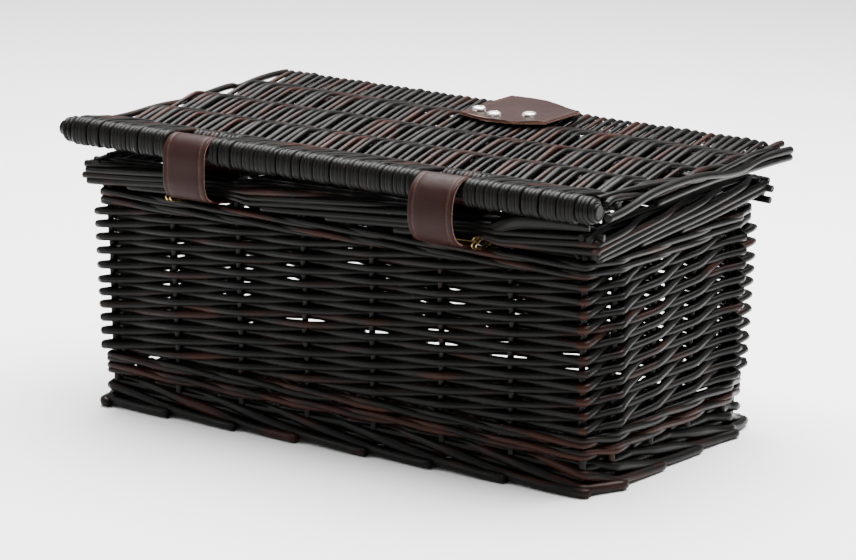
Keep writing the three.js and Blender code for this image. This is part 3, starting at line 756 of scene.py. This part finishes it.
def pressed(x, y):
    """How far the weave is pressed down by the riveted end of the closing flap."""
    across = max(FLAP_LOW[0] - x, x - FLAP_HIGH[0], 0)
    along = max(FLAP_LOW[1] - 6 * MM - y, 0)
    share = ease(max(0, 1 - across / (7 * MM))) * ease(max(0, 1 - along / (9 * MM)))
    return (0.7 * MM + float(flap_sag(x, y))) * share


def between(a, b):
    """From one crossing to the next: the rod bends round each stick and runs nearly straight between."""
    steps, sharpness = 12, 0.985
    places = []
    for k in range(1, steps + 1):
        t = k / steps
        bend = 0.5 - math.asin(sharpness * math.cos(math.pi * t)) / (2 * math.asin(sharpness))
        places.append((a[0] + (b[0] - a[0]) * t, a[1] + (b[1] - a[1]) * t, a[2] + (b[2] - a[2]) * bend))
    return places


def half_weaver(x, wrap_x, sign, rng):
    """Dense points from the hinge side to the last stick before the front rod."""
    crossings = []
    slack = rng.uniform(-0.6, 0.6) * MM
    for i, y in enumerate(STICK_Y):
        rise = sign * (-1) ** i * CROSSING_RISE * rng.uniform(0.94, 1.04)
        aside = x + slack + rng.uniform(-1.5, 1.5) * MM
        uneven = rng.uniform(-0.3, 0.5) * MM
        crossings.append((aside, y, lid_level(x, y) + rise + uneven - pressed(x, y) * (rise > 0)))
    dense = [tuple(p) for p in rounded_path(hinge_side(x, wrap_x, sign, rng) + [crossings[0]], 3)]
    for a, b in zip(crossings, crossings[1:]):
        dense += between(a, b)
    return dense, crossings[-1]


def weaver_pair(bundle, x_over, x_under, wrap_over, wrap_under):
    """One long rod: from the hinge side over the front rod, round it and back as the next weaver."""
    rng = bundle.random
    radius = WEAVER_RADIUS * rng.choice((0.82, 0.94, 1.0, 1.12, 1.3))
    out, last_out = half_weaver(x_over, wrap_over, 1, rng)
    back, last_back = half_weaver(x_under, wrap_under, -1, rng)
    turn = FRONT_RADIUS + WEAVER_RADIUS
    edge_level = lid_level(x_over, FRONT_ROD_Y)
    steps = 8
    edge = []
    for k in range(steps + 1):
        x = x_over + (x_under - x_over) * k / steps
        angle = math.radians(90 - 180 * k / steps)
        edge.append((x, FRONT_ROD_Y + turn * math.cos(angle), edge_level + turn * math.sin(angle)))
    path = out + between(last_out, edge[0]) + edge[1:-1] + between(edge[-1], last_back)[:-1] + back[::-1]
    path = np.array(path)
    wrapped = np.clip((HINGE_Y + 14 * MM - path[:, 1]) / (5 * MM), 0, 1)
    # Over the hinge rod a weaver's red tone is cut to a quarter: painted shade that darkens the wraps, which
    # face forward under the lid's edge, away from the top light.
    tone = rng.random() * (1 - 0.75 * wrapped)
    radii = radius + (WEAVER_RADIUS * rng.uniform(1.05, 1.25) - radius) * wrapped
    bundle.rod(path, radii, (1, 0, 0), 8, tone)


def gathered(places):
    """The weavers' places on the hinge rod, where they are wrapped in groups of two to four."""
    wraps = []
    grouping = random.Random(12)
    while len(wraps) < len(places):
        group = places[len(wraps):len(wraps) + grouping.choice((2, 3, 3, 4))]
        centre = sum(group) / len(group)
        wraps += [centre + (x - centre) * 0.84 + grouping.uniform(-0.25, 0.25) * MM for x in group]
    return wraps


def lid_weave():
    low_x, high_x = LID_WEAVE_LOW[0] - 3 * MM, LID_WEAVE_HIGH[0] + 3 * MM
    count = int((high_x - low_x) / (2 * WEAVER_SPACING)) * 2
    spacing = (high_x - low_x) / count
    places = [low_x + (k + 0.5) * spacing for k in range(count)]
    wraps = gathered(places)
    groups = (["lid_weave", "lid_wrapping_1"], ["lid_wrapping_3"], ["lid_wrapping_5"])
    for group, nodes in enumerate(groups):
        bundle = Bundle(f"lid weave {group}")
        for k in range(0, count, 2):
            if k * len(groups) // count == group:
                over, under = (places[j] + bundle.random.uniform(-0.45, 0.45) * MM for j in (k, k + 1))
                weaver_pair(bundle, over, under, wraps[k], wraps[k + 1])
        finish_piece(bundle.build(f"lid_weavers_{group + 1}", WILLOW_LID), "lid", "willow_brown", *nodes)


def lid_frame():
    """The hinge rod's core, the four long sticks and the front rod."""
    bundle = Bundle("lid frame")
    steps = 60
    low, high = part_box("lid_hinge_rod")
    x = np.linspace(low[0] + 0.5 * MM, high[0] - 1 * MM, steps)
    core = np.stack([x, np.full(steps, HINGE_Y), lid_level(x, HINGE_Y) + WRAP_LIFT], 1)
    bundle.rod(core, HINGE_CORE_RADIUS - 0.2 * MM, UP, 14)
    nodes = ["lid_hinge_rod", "lid_front_rod"] + [f"lid_stick_{i + 1}" for i in range(len(STICK_Y))]
    for y in STICK_Y + [FRONT_ROD_Y]:
        x = np.linspace(LID_LOW_X + 7.5 * MM, LID_HIGH_X - bundle.random.uniform(1, 3.5) * MM, steps)
        sway = wave(bundle.random, 4, 0.4)
        places = np.stack([x, y + 0.5 * MM * sway(x), lid_level(x, y)], 1)
        taper = np.interp(x, [LID_WEAVE_HIGH[0], LID_WEAVE_HIGH[0] + 6 * MM], [1, 0.8])
        bundle.rod(places, (FRONT_RADIUS if y == FRONT_ROD_Y else STICK_RADIUS) * taper, UP, 12)
    finish_piece(bundle.build("lid_sticks", WILLOW_WALL), "lid", "willow_black", *nodes)


def lid_wrap_rings():
    """Plain turns of willow at the ends of the hinge rod, smaller towards the outer end."""
    bundle = Bundle("wrap rings")
    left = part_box("lid_wrapping_1")[0][0] + 0.8 * MM, LID_WEAVE_LOW[0] - 3.5 * MM
    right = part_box("lid_wrapping_5")[1][0] - 1 * MM, LID_WEAVE_HIGH[0] + 3.5 * MM
    for start, end, backwards in ((*left, False), (*right, True)):
        turns = max(1, round(abs(end - start) / WEAVER_SPACING))
        t = np.linspace(0, turns, turns * 18 + 1)
        inward = t[::-1] / turns if backwards else t / turns
        wrap = HINGE_CORE_RADIUS + WEAVER_RADIUS * 1.1
        turn = wrap - 1.6 * MM * (1 - np.clip(inward * 2.5, 0, 1))
        x = start + (end - start) * inward
        level = lid_level(x, HINGE_Y) + WRAP_LIFT
        angle = 2 * math.pi * t
        places = np.stack([x, HINGE_Y + turn * np.cos(angle), level + turn * np.sin(angle)], 1)
        bundle.rod(places, WEAVER_RADIUS * 1.03, (1, 0, 0), 8, 0.15)
    nodes = ["lid_wrapping_2", "lid_wrapping_4"]
    finish_piece(bundle.build("lid_wrap_rings", WILLOW_LID), "lid", "willow_black", *nodes)


# The stout rods along the lid's two ends. Each has its x and radius, and its (y, z) places from the hinge
# line and from the lid's middle, in millimetres.
END_RODS = {
    "lid_end_rod_left": (-193.0, 2.2, [
        (12, 0), (31, 1.6), (60, 1.3), (93, 2.2), (121, 1.4), (150, 2.6), (174, 3.4), (184, 1.4), (205, 3.3),
        (226, 4.0), (241, 3.6)]),
    "lid_end_rod_right_1": (190.2, 2.0, [
        (16, -1.5), (26, -2.6), (53, 2.4), (74, 4.2), (101, 2.4), (128, -1.2), (155, 1.6), (182, 4.4),
        (206, 1.2), (228, -0.6)]),
    "lid_end_rod_right_2": (194.6, 2.25, [
        (17, 2.2), (26, 4.2), (53, 1.5), (74, -2.4), (101, -0.8), (128, 3.9), (152, 3.2), (182, -0.6),
        (210, 2.2), (232, 5.0), (241, 5.2)]),
    "lid_end_rod_right_3": (199.0, 2.6, [
        (11, -4.6), (26, -3.8), (45, -1.8), (71, 1.8), (100, 3.4), (130, 2.2), (160, -0.8), (182, -1.4),
        (210, 1.0), (232, 1.6), (243, 1.4)]),
}

# Two loose rods at the right end, one under the end rods and one over them, as (x, y, z) places
LOOSE_ROD_UNDER = [(195.6, 76, -9.0), (196.4, 105, -7.4), (197.0, 148, -6.2), (197.6, 182, -7.2),
                   (198.4, 220, -7.6), (199.0, 245, -8.2)]
LOOSE_ROD_OVER = [(187.0, 20, 4.4), (190.5, 48, 5.4), (195.5, 88, 4.2), (198.6, 124, 0.6), (199.8, 160, 3.6),
                  (197.0, 200, 5.2), (195.0, 236, 3.0)]


def lid_end_rods():
    along = (1, 0, 0)
    for name, (end_x, radius, places) in END_RODS.items():
        bundle = Bundle(name)
        y, rise = rounded_path(np.array(places) * MM, 8).T
        y = HINGE_Y + y
        sway = wave(bundle.random, 4, 0.3)
        x = end_x * MM + 0.8 * MM * sway(y)
        bundle.rod(np.stack([x, y, lid_level(x, y) + rise], 1), radius * MM, along, 12)
        finish_piece(bundle.build(f"{name}_willow", WILLOW_WALL), "lid", "willow_black", name)
    bundle = Bundle("lid loose rod")
    under = np.array(LOOSE_ROD_UNDER) * MM + (0, HINGE_Y, LID_Z)
    bundle.rod(rounded_path(under, 8), 2.4 * MM, along, 12)
    over = np.array(LOOSE_ROD_OVER) * MM + (0, HINGE_Y, 0)
    over[:, 2] += lid_level(over[:, 0], over[:, 1])
    bundle.rod(rounded_path(over, 8), 1.7 * MM, along, 10)
    finish_piece(bundle.build("lid_loose_rod_willow", WILLOW_WALL), "lid", "willow_black")


lid_weave()
lid_frame()
lid_wrap_rings()
lid_end_rods()


# ---- Leather ----

LEATHER_THICKNESS = 2.0 * MM
FLAP_LEATHER_THICKNESS = 2.2 * MM
CREASE_INSET = 3.7

# A strap's section, from its left edge over the outer face to the right edge and back along the inner face.
# Each place is a side, how far in from that side's edge in millimetres, and a height in half thicknesses.
# Without an inset, the side is a share of the half width.
EDGE_SECTION = [(0, -0.2), (0, 0.35), (0.35, 0.85), (0.9, 1.0), (CREASE_INSET - 0.9, 1.0),
                (CREASE_INSET - 0.35, 0.82), (CREASE_INSET, 0.74), (CREASE_INSET + 0.35, 0.82),
                (CREASE_INSET + 0.9, 1.0)]
OUTER_SECTION = ([(-1.0, inset, height) for inset, height in EDGE_SECTION]
                 + [(side, None, 1.0) for side in (-0.5, -0.17, 0.17, 0.5)]
                 + [(1.0, inset, height) for inset, height in reversed(EDGE_SECTION)])
INNER_SECTION = [(1.0, 0.35, -0.85), (1.0, 0.9, -1.0), (0.3, None, -1.0), (-0.3, None, -1.0),
                 (-1.0, 0.9, -1.0), (-1.0, 0.35, -0.85)]
STRAP_SECTION = OUTER_SECTION + INNER_SECTION
STRAP_LANES = len(STRAP_SECTION)
RIGHT_EDGE = len(OUTER_SECTION) - 1
EDGE_LANES = {0, 1, RIGHT_EDGE - 1, RIGHT_EDGE, RIGHT_EDGE + 1, STRAP_LANES - 1}
IN_CREASE = [float(inset is not None and abs(inset - CREASE_INSET) < 0.4 and height > 0)
             for _, inset, height in STRAP_SECTION]


def strap_mesh(name, path, normals, widths, thickness, closed, bare_edge=lambda place: True):
    """A strap: a path along its middle, a width at each point, rounded corners and a pressed crease
    along each side. Its cut edges have their own material."""
    ahead = np.roll(path, -1, 0) - np.roll(path, 1, 0) if closed else np.gradient(path, axis=0)
    across = np.cross(normals, unit(ahead))
    steps = len(path)
    vertices = []
    for i, place in enumerate(path):
        half = widths[i] / 2
        for side, inset, height in STRAP_SECTION:
            offset = side * half if inset is None else side * (half - inset * MM)
            vertices.append(place + across[i] * offset + normals[i] * height * thickness / 2)
    faces, materials = [], []
    for i in range(steps if closed else steps - 1):
        here, ahead_row = i * STRAP_LANES, (i + 1) % steps * STRAP_LANES
        for k in range(STRAP_LANES):
            n = (k + 1) % STRAP_LANES
            faces.append([here + k, here + n, ahead_row + n, ahead_row + k])
            materials.append(int(k in EDGE_LANES and n in EDGE_LANES and bare_edge(path[i])))
    smooth = [True] * len(faces)
    if not closed:
        last = (steps - 1) * STRAP_LANES
        faces += [list(range(STRAP_LANES))[::-1], list(range(last, last + STRAP_LANES))]
        materials += [1, 1]
        smooth += [False, False]
    mesh = bpy.data.meshes.new(name)
    mesh.from_pydata([tuple(v) for v in vertices], [], faces)
    mesh.materials.append(LEATHER)
    mesh.materials.append(LEATHER_EDGE)
    mesh.polygons.foreach_set("material_index", materials)
    crease = mesh.attributes.new("strap_crease", "FLOAT", "POINT")
    crease.data.foreach_set("value", IN_CREASE * steps)
    mesh.polygons.foreach_set("use_smooth", smooth)
    mesh.update()
    return new_object(name, mesh)


def hinge_loops():
    for side, (low, high) in LOOPS.items():
        # (Y, Z) of the middle of the leather from the hinge axis, in millimetres. The stretch outside the
        # rod follows how far this loop bulges.
        bulge = max(0, (HINGE_Y - low[1]) / MM - 11.7)
        lift = 3.2 if bulge < 2 else 0.8
        offsets = [(11.1, -7.0), (9.5, 1.3), (6.4, 6.6), (0.2, 8.8), (-6.3 - 0.2 * bulge, 6.8),
                   (-10.7 - 0.6 * bulge, 0.0), (-10.7 - bulge, -13.0 + 0.3 * lift),
                   (-10.3 - 0.75 * bulge, -23.5 + 0.7 * lift), (-7.0 - 0.3 * bulge, -31.4 + lift),
                   (2.0, -34.8 + lift), (14.0, -35.3 + 0.6 * lift), (25.5, -35.2), (29.0, -30.5),
                   (28.8, -21.5), (24.5, -14.2), (18.0, -11.2)]
        centre_x = (low[0] + high[0]) / 2
        level = lid_level(centre_x, HINGE_Y) - LID_Z
        places = []
        for y, z in offsets:
            above = min(1, max(0, (z + 20) / 20))
            places.append((centre_x, HINGE_Y + y * MM, LID_Z + z * MM + level * above))
        path = closed_curve(places, 6)
        normals = np.cross(unit(np.roll(path, -1, 0) - np.roll(path, 1, 0)), (1.0, 0, 0))
        widths = np.full(len(path), high[0] - low[0])
        loop = strap_mesh(f"hinge_loop_{side}_leather", path, normals, widths, LEATHER_THICKNESS, True,
                          lambda place: place[1] < HINGE_Y - 4 * MM or place[2] > LID_Z)
        finish_piece(loop, "basket", "strap_leather", f"hinge_loop_{side}")


# ---- Closing flap and metal fittings ----

TAIL_LOW, TAIL_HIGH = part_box("flap_tail")
FLAP_AXIS_Y = (TAIL_LOW[1] + TAIL_HIGH[1]) / 2
FLAP_AXIS_Z = TAIL_HIGH[2]
FLAP_HALF_WIDTH = (FLAP_HIGH[0] - FLAP_LOW[0]) / 2
FLAP_BEND_RADIUS = 3.0 * MM
FLAP_TIP_HALF_WIDTH = 22 * MM
FLAP_TAPER_HEIGHT = 22 * MM
SLOT_RIM = 4.0 * MM
UPRIGHT = Matrix.Rotation(math.radians(90), 4, "X")


def evaluated_mesh(piece):
    bpy.context.view_layer.update()
    return bpy.data.meshes.new_from_object(piece.evaluated_get(bpy.context.evaluated_depsgraph_get()))


def plate(name, material, outlines, thickness, bevel):
    """A flat plate in its own XY plane with rounded rims. The outlines after the first are holes."""
    data = bpy.data.curves.new(name, "CURVE")
    data.dimensions = "2D"
    data.fill_mode = "BOTH"
    data.extrude = thickness / 2 - bevel
    data.bevel_depth = bevel
    data.bevel_resolution = 2
    for outline in outlines:
        loop = data.splines.new("POLY")
        loop.points.add(len(outline) - 1)
        for point, (x, y) in zip(loop.points, outline):
            point.co = (x, y, 0, 1)
        loop.use_cyclic_u = True
    curve = new_object(name + "_outline", data)
    mesh = evaluated_mesh(curve)
    bpy.data.objects.remove(curve)
    mesh.materials.clear()
    mesh.materials.append(material)
    return new_object(name, mesh)


def rounded_outline(half_x, half_y, radius):
    steps = 6
    points = []
    for corner, (sign_x, sign_y) in enumerate(((1, 1), (-1, 1), (-1, -1), (1, -1))):
        for step in range(steps + 1):
            angle = math.pi / 2 * (corner + step / steps)
            points.append((sign_x * (half_x - radius) + radius * math.cos(angle),
                           sign_y * (half_y - radius) + radius * math.sin(angle)))
    return points


def box_half(node):
    low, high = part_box(node)
    return (high[0] - low[0]) / 2, (high[1] - low[1]) / 2, (high[2] - low[2]) / 2


def flap_path():
    """The middle of the strap before it sags: flat on the lid, over its front edge and straight down."""
    lid_z = FLAP_HIGH[2] - FLAP_LEATHER_THICKNESS / 2
    bend_y, bend_z = FLAP_AXIS_Y - FLAP_BEND_RADIUS, lid_z - FLAP_BEND_RADIUS
    flat = [(y, lid_z) for y in np.linspace(FLAP_LOW[1], bend_y, 40)]
    fold = [(bend_y + FLAP_BEND_RADIUS * math.sin(a), bend_z + FLAP_BEND_RADIUS * math.cos(a))
            for a in np.linspace(0, math.pi / 2, 9)[1:]]
    drop = [(FLAP_AXIS_Y, z) for z in np.linspace(bend_z, TAIL_LOW[2], 40)[1:]]
    return np.array([(CLOSURE_X, y, z) for y, z in flat + fold + drop])


def flap_width(y, z):
    """The full width, tapered at the tip of the hanging part."""
    share = min(1, (z - TAIL_LOW[2]) / FLAP_TAPER_HEIGHT) if y >= FLAP_AXIS_Y - 1 * MM else 1
    return 2 * (FLAP_TIP_HALF_WIDTH + (FLAP_HALF_WIDTH - FLAP_TIP_HALF_WIDTH) * share)


def settle_flap(places, widths):
    """Sags and bows the leather, and narrows its right side where it passes over the lid's edge."""
    x, y, z = places.T.copy()
    across = (x - CLOSURE_X) / FLAP_HALF_WIDTH
    on_lid = np.clip((FLAP_AXIS_Y - 4 * MM - y) / (8 * MM), 0, 1)
    end = np.clip(1 - (y - FLAP_LOW[1]) / (34 * MM), 0, 1)
    z -= flap_sag(x, y) * np.clip((z - FLAP_AXIS_Z + 20 * MM) / (20 * MM), 0, 1)
    y -= 4.5 * MM * end * on_lid * (1 - np.clip(across + 0.1, -1, 1) ** 2)
    narrowed = ease(np.clip((y - FLAP_LOW[1] - 39 * MM) / (23 * MM), 0, 1))
    kept_half = FLAP_HALF_WIDTH + (19.5 * MM - FLAP_HALF_WIDTH) * narrowed
    own_half = np.repeat(widths / 2, len(places) // len(widths))
    narrower = np.where(x > CLOSURE_X, np.minimum(kept_half / own_half, 1), 1)
    return np.stack([CLOSURE_X + (x - CLOSURE_X) * narrower, y, z], 1)


def cut_slot(flap, outline):
    cutter = plate("slot_cutter", LEATHER_EDGE, [outline], 20 * MM, 0.1 * MM)
    cutter.matrix_world = Matrix.Translation((CLOSURE_X, FLAP_AXIS_Y, KNOB_Z)) @ UPRIGHT
    modifier = flap.modifiers.new("slot", "BOOLEAN")
    modifier.operation = "DIFFERENCE"
    modifier.solver = "EXACT"
    modifier.object = cutter
    mesh = evaluated_mesh(flap)
    flap.modifiers.clear()
    flap.data = mesh
    bpy.data.objects.remove(cutter)


def closing_flap():
    """One strap: riveted to the lid, folded over its front edge and hanging in front of the knob."""
    path = flap_path()
    normals = np.cross((1.0, 0, 0), unit(np.gradient(path, axis=0)))
    widths = np.array([flap_width(y, z) for _, y, z in path])
    flap = strap_mesh("closing_flap_leather", path, normals, widths, FLAP_LEATHER_THICKNESS, False)
    places = settle_flap(np.array([v.co for v in flap.data.vertices]), widths)
    flap.data.vertices.foreach_set("co", places.ravel())
    slot_x, slot_y, slot_z = box_half("flap_slot_plate")
    opening = rounded_outline(slot_x - SLOT_RIM, slot_z - SLOT_RIM, slot_x - SLOT_RIM)
    cut_slot(flap, opening)
    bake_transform(flap)
    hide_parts("flap_mount", "flap_tail")
    outlines = [rounded_outline(slot_x, slot_z, 6 * MM), opening[::-1]]
    ring = plate("slot_plate_metal", NICKEL, outlines, 2 * slot_y, 0.3 * MM)
    ring.matrix_world = Matrix.Translation((CLOSURE_X, middle("flap_slot_plate", 1), KNOB_Z)) @ UPRIGHT
    finish_piece(ring, "flap", "nickel", "flap_slot_plate")


def rivet(name, rng):
    """A hammered dome head, a little uneven."""
    centre_x, centre_y = middle(name, 0), middle(name, 1)
    radius = box_half(name)[0]
    foot_z = FLAP_HIGH[2] - float(flap_sag(centre_x, centre_y))
    rings, sides = 7, 18
    vertices = []
    for ring in range(rings):
        share = 1 - ring / rings
        height = 2.3 * MM * math.sqrt(1 - share**4) + 0.2 * MM
        for k in range(sides):
            angle = 2 * math.pi * (k + 0.5 * (ring % 2)) / sides
            reach = radius * share * (1 + rng.uniform(-0.03, 0.03))
            rise = height + rng.uniform(-0.16, 0.16) * MM if ring else -0.6 * MM
            x, y = centre_x + reach * math.cos(angle), centre_y + reach * math.sin(angle)
            vertices.append((x, y, foot_z + rise))
    top = len(vertices)
    vertices.append((centre_x, centre_y, foot_z + 2.5 * MM))
    faces = []
    for ring in range(rings):
        for k in range(sides):
            a, b = ring * sides + k, ring * sides + (k + 1) % sides
            faces.append((a, b, top) if ring == rings - 1 else (a, b, b + sides, a + sides))
    faces.append(tuple(range(sides))[::-1])
    mesh = bpy.data.meshes.new(name)
    mesh.from_pydata(vertices, [], faces)
    mesh.materials.append(NICKEL)
    mesh.polygons.foreach_set("use_smooth", [rng.random() < 0.55 for _ in faces])
    mesh.update()
    finish_piece(new_object(f"{name}_head", mesh), "lid", "nickel", name)


def closure_patch():
    low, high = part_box("closure_patch")
    thickness = FLAP_LEATHER_THICKNESS
    steps = 14
    z = np.linspace(low[2], high[2], steps)
    y = np.linspace(low[1], high[1] - thickness, steps) + thickness / 2
    path = np.stack([np.full(steps, CLOSURE_X), y, z], 1)
    normals = np.cross(unit(np.gradient(path, axis=0)), (1.0, 0, 0))
    normals *= np.sign(normals[:, 1:2])
    widths = [high[0] - low[0]] * steps
    patch = strap_mesh("closure_patch_leather", path, -normals, widths, thickness, False)
    patch.data.flip_normals()
    finish_piece(patch, "basket", "strap_leather", "closure_patch")


def lock_plate():
    half_x, half_y, half_z = box_half("lock_plate")
    lock = plate("lock_plate_metal", NICKEL, [rounded_outline(half_x, half_z, 4 * MM)], 2 * half_y, 0.3 * MM)
    centre = [middle("lock_plate", axis) for axis in range(3)]
    lock.matrix_world = Matrix.Translation(centre) @ UPRIGHT
    finish_piece(lock, "basket", "nickel", "lock_plate")


def turn_knob():
    """An oval head on a round post."""
    low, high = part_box("turn_knob")
    half_x, half_y, half_z = box_half("turn_knob")
    head_depth, overlap, post_radius = 3.8 * MM, 0.6 * MM, 2.5 * MM
    post_depth = 2 * half_y - head_depth + overlap
    head_outline = rounded_outline(half_x, half_z, half_x - 0.05 * MM)
    post_outline = rounded_outline(post_radius, post_radius, post_radius - 0.01 * MM)
    head = plate("knob_head", NICKEL, [head_outline], head_depth, 1.1 * MM)
    head.data.transform(Matrix.Translation((CLOSURE_X, high[1] - head_depth / 2, KNOB_Z)) @ UPRIGHT)
    post = plate("knob_post", NICKEL, [post_outline], post_depth, 0.1 * MM)
    post.data.transform(Matrix.Translation((CLOSURE_X, low[1] + post_depth / 2, KNOB_Z)) @ UPRIGHT)
    finish_piece(head, "knob", "nickel", "turn_knob")
    finish_piece(post, "knob", "nickel")


def wire_coil(end, sign, y, z, outer):
    """Turns of wire round the willow beside a loop: wide ones at its outer end, a short one at the other."""
    turns, reach, near, swing = (2.2, 6.5, 4.0, 10.5) if outer else (0.6, 3, 12, 2)
    angle = np.linspace(0, turns * 2 * math.pi, 36)
    x = end + sign * (1 + reach * angle / angle[-1]) * MM
    y = y + near * MM - swing * MM * np.cos(angle) * np.clip(angle, 0, 1)
    z = z - 0.4 * MM + 3.3 * np.sin(angle) * MM
    return np.stack([x, y, z], 1)


def loop_wires():
    """Brass wire under the bottom of each leather loop, twisted round the willow at both ends."""
    for side, (low, high) in LOOPS.items():
        bundle = Bundle(f"wire {side}")
        y, z = middle(f"loop_pin_{side}", 1), middle(f"loop_pin_{side}", 2)
        left = wire_coil(low[0], -1, y, z, side == "left")
        right = wire_coil(high[0], 1, y, z, side == "right")
        places = np.vstack([left[::-1], ((low[0] + high[0]) / 2, y, z), right])
        bundle.rod(places, 0.55 * MM, (0.05, 0.3, 1), 6)
        finish_piece(bundle.build(f"loop_wire_{side}", BRASS), "basket", "brass", f"loop_pin_{side}")


hinge_loops()
closing_flap()
for rivet_number in range(1, 4):
    rivet(f"flap_rivet_{rivet_number}", random.Random(40 + rivet_number))
closure_patch()
lock_plate()
turn_knob()
loop_wires()


# ---- Camera, light and floor ----

CAMERA_PLACE = (1.3078, CENTRE_Y - 2.0390, 0.6753)
CAMERA_AZIMUTH, CAMERA_ELEVATION, CAMERA_ROLL = (math.radians(angle) for angle in (32.61, 13.55, 0.805))
CAMERA_LENS = 161.06
CAMERA_SENSOR = 36
WHITE = (1, 1, 1, 1)
FLOOR_COLOR = (0.96, 0.96, 0.96)
FLOOR_HALF_SIZE = 12
SKY_STRENGTH = 0.50
LIGHT_TARGET = (0, 0, 0.1)


def camera():
    data = bpy.data.cameras.new("camera")
    data.sensor_width = CAMERA_SENSOR
    data.lens = CAMERA_LENS
    data.clip_end = 20
    holder = new_object("camera", data)
    back = Vector((math.sin(CAMERA_AZIMUTH) * math.cos(CAMERA_ELEVATION),
                   -math.cos(CAMERA_AZIMUTH) * math.cos(CAMERA_ELEVATION), math.sin(CAMERA_ELEVATION)))
    side = Vector(UP).cross(back).normalized()
    level = Matrix((side, back.cross(side), back)).transposed().to_4x4()
    holder.matrix_world = Matrix.Translation(CAMERA_PLACE) @ level @ Matrix.Rotation(CAMERA_ROLL, 4, "Z")
    bpy.context.scene.camera = holder


def area_light(name, place, size, power):
    data = bpy.data.lights.new(name, "AREA")
    data.shape = "RECTANGLE"
    data.size, data.size_y = size
    data.energy = power
    lamp = new_object(name, data)
    lamp.location = place
    lamp.rotation_euler = (Vector(LIGHT_TARGET) - Vector(place)).to_track_quat("-Z", "Y").to_euler()


def studio():
    mesh = bpy.data.meshes.new("floor")
    corners = [(x * FLOOR_HALF_SIZE, y * FLOOR_HALF_SIZE, 0) for x, y in ((-1, -1), (1, -1), (1, 1), (-1, 1))]
    mesh.from_pydata(corners, [], [(0, 1, 2, 3)])
    floor = new_object("floor", mesh)
    look = Look("pale_floor")
    look.put(look.shader, Base_Color=FLOOR_COLOR, Roughness=0.9)
    mesh.materials.append(look.material)
    world = bpy.data.worlds.new("studio")
    bpy.context.scene.world = world
    world.use_nodes = True
    background = world.node_tree.nodes["Background"]
    background.inputs["Color"].default_value = WHITE
    background.inputs["Strength"].default_value = SKY_STRENGTH
    area_light("top_softbox", (0.0, 0.35, 1.5), (2.0, 1.6), 165)
    area_light("left_softbox", (-1.4, -1.3, 0.9), (0.9, 0.7), 9)


camera()
studio()
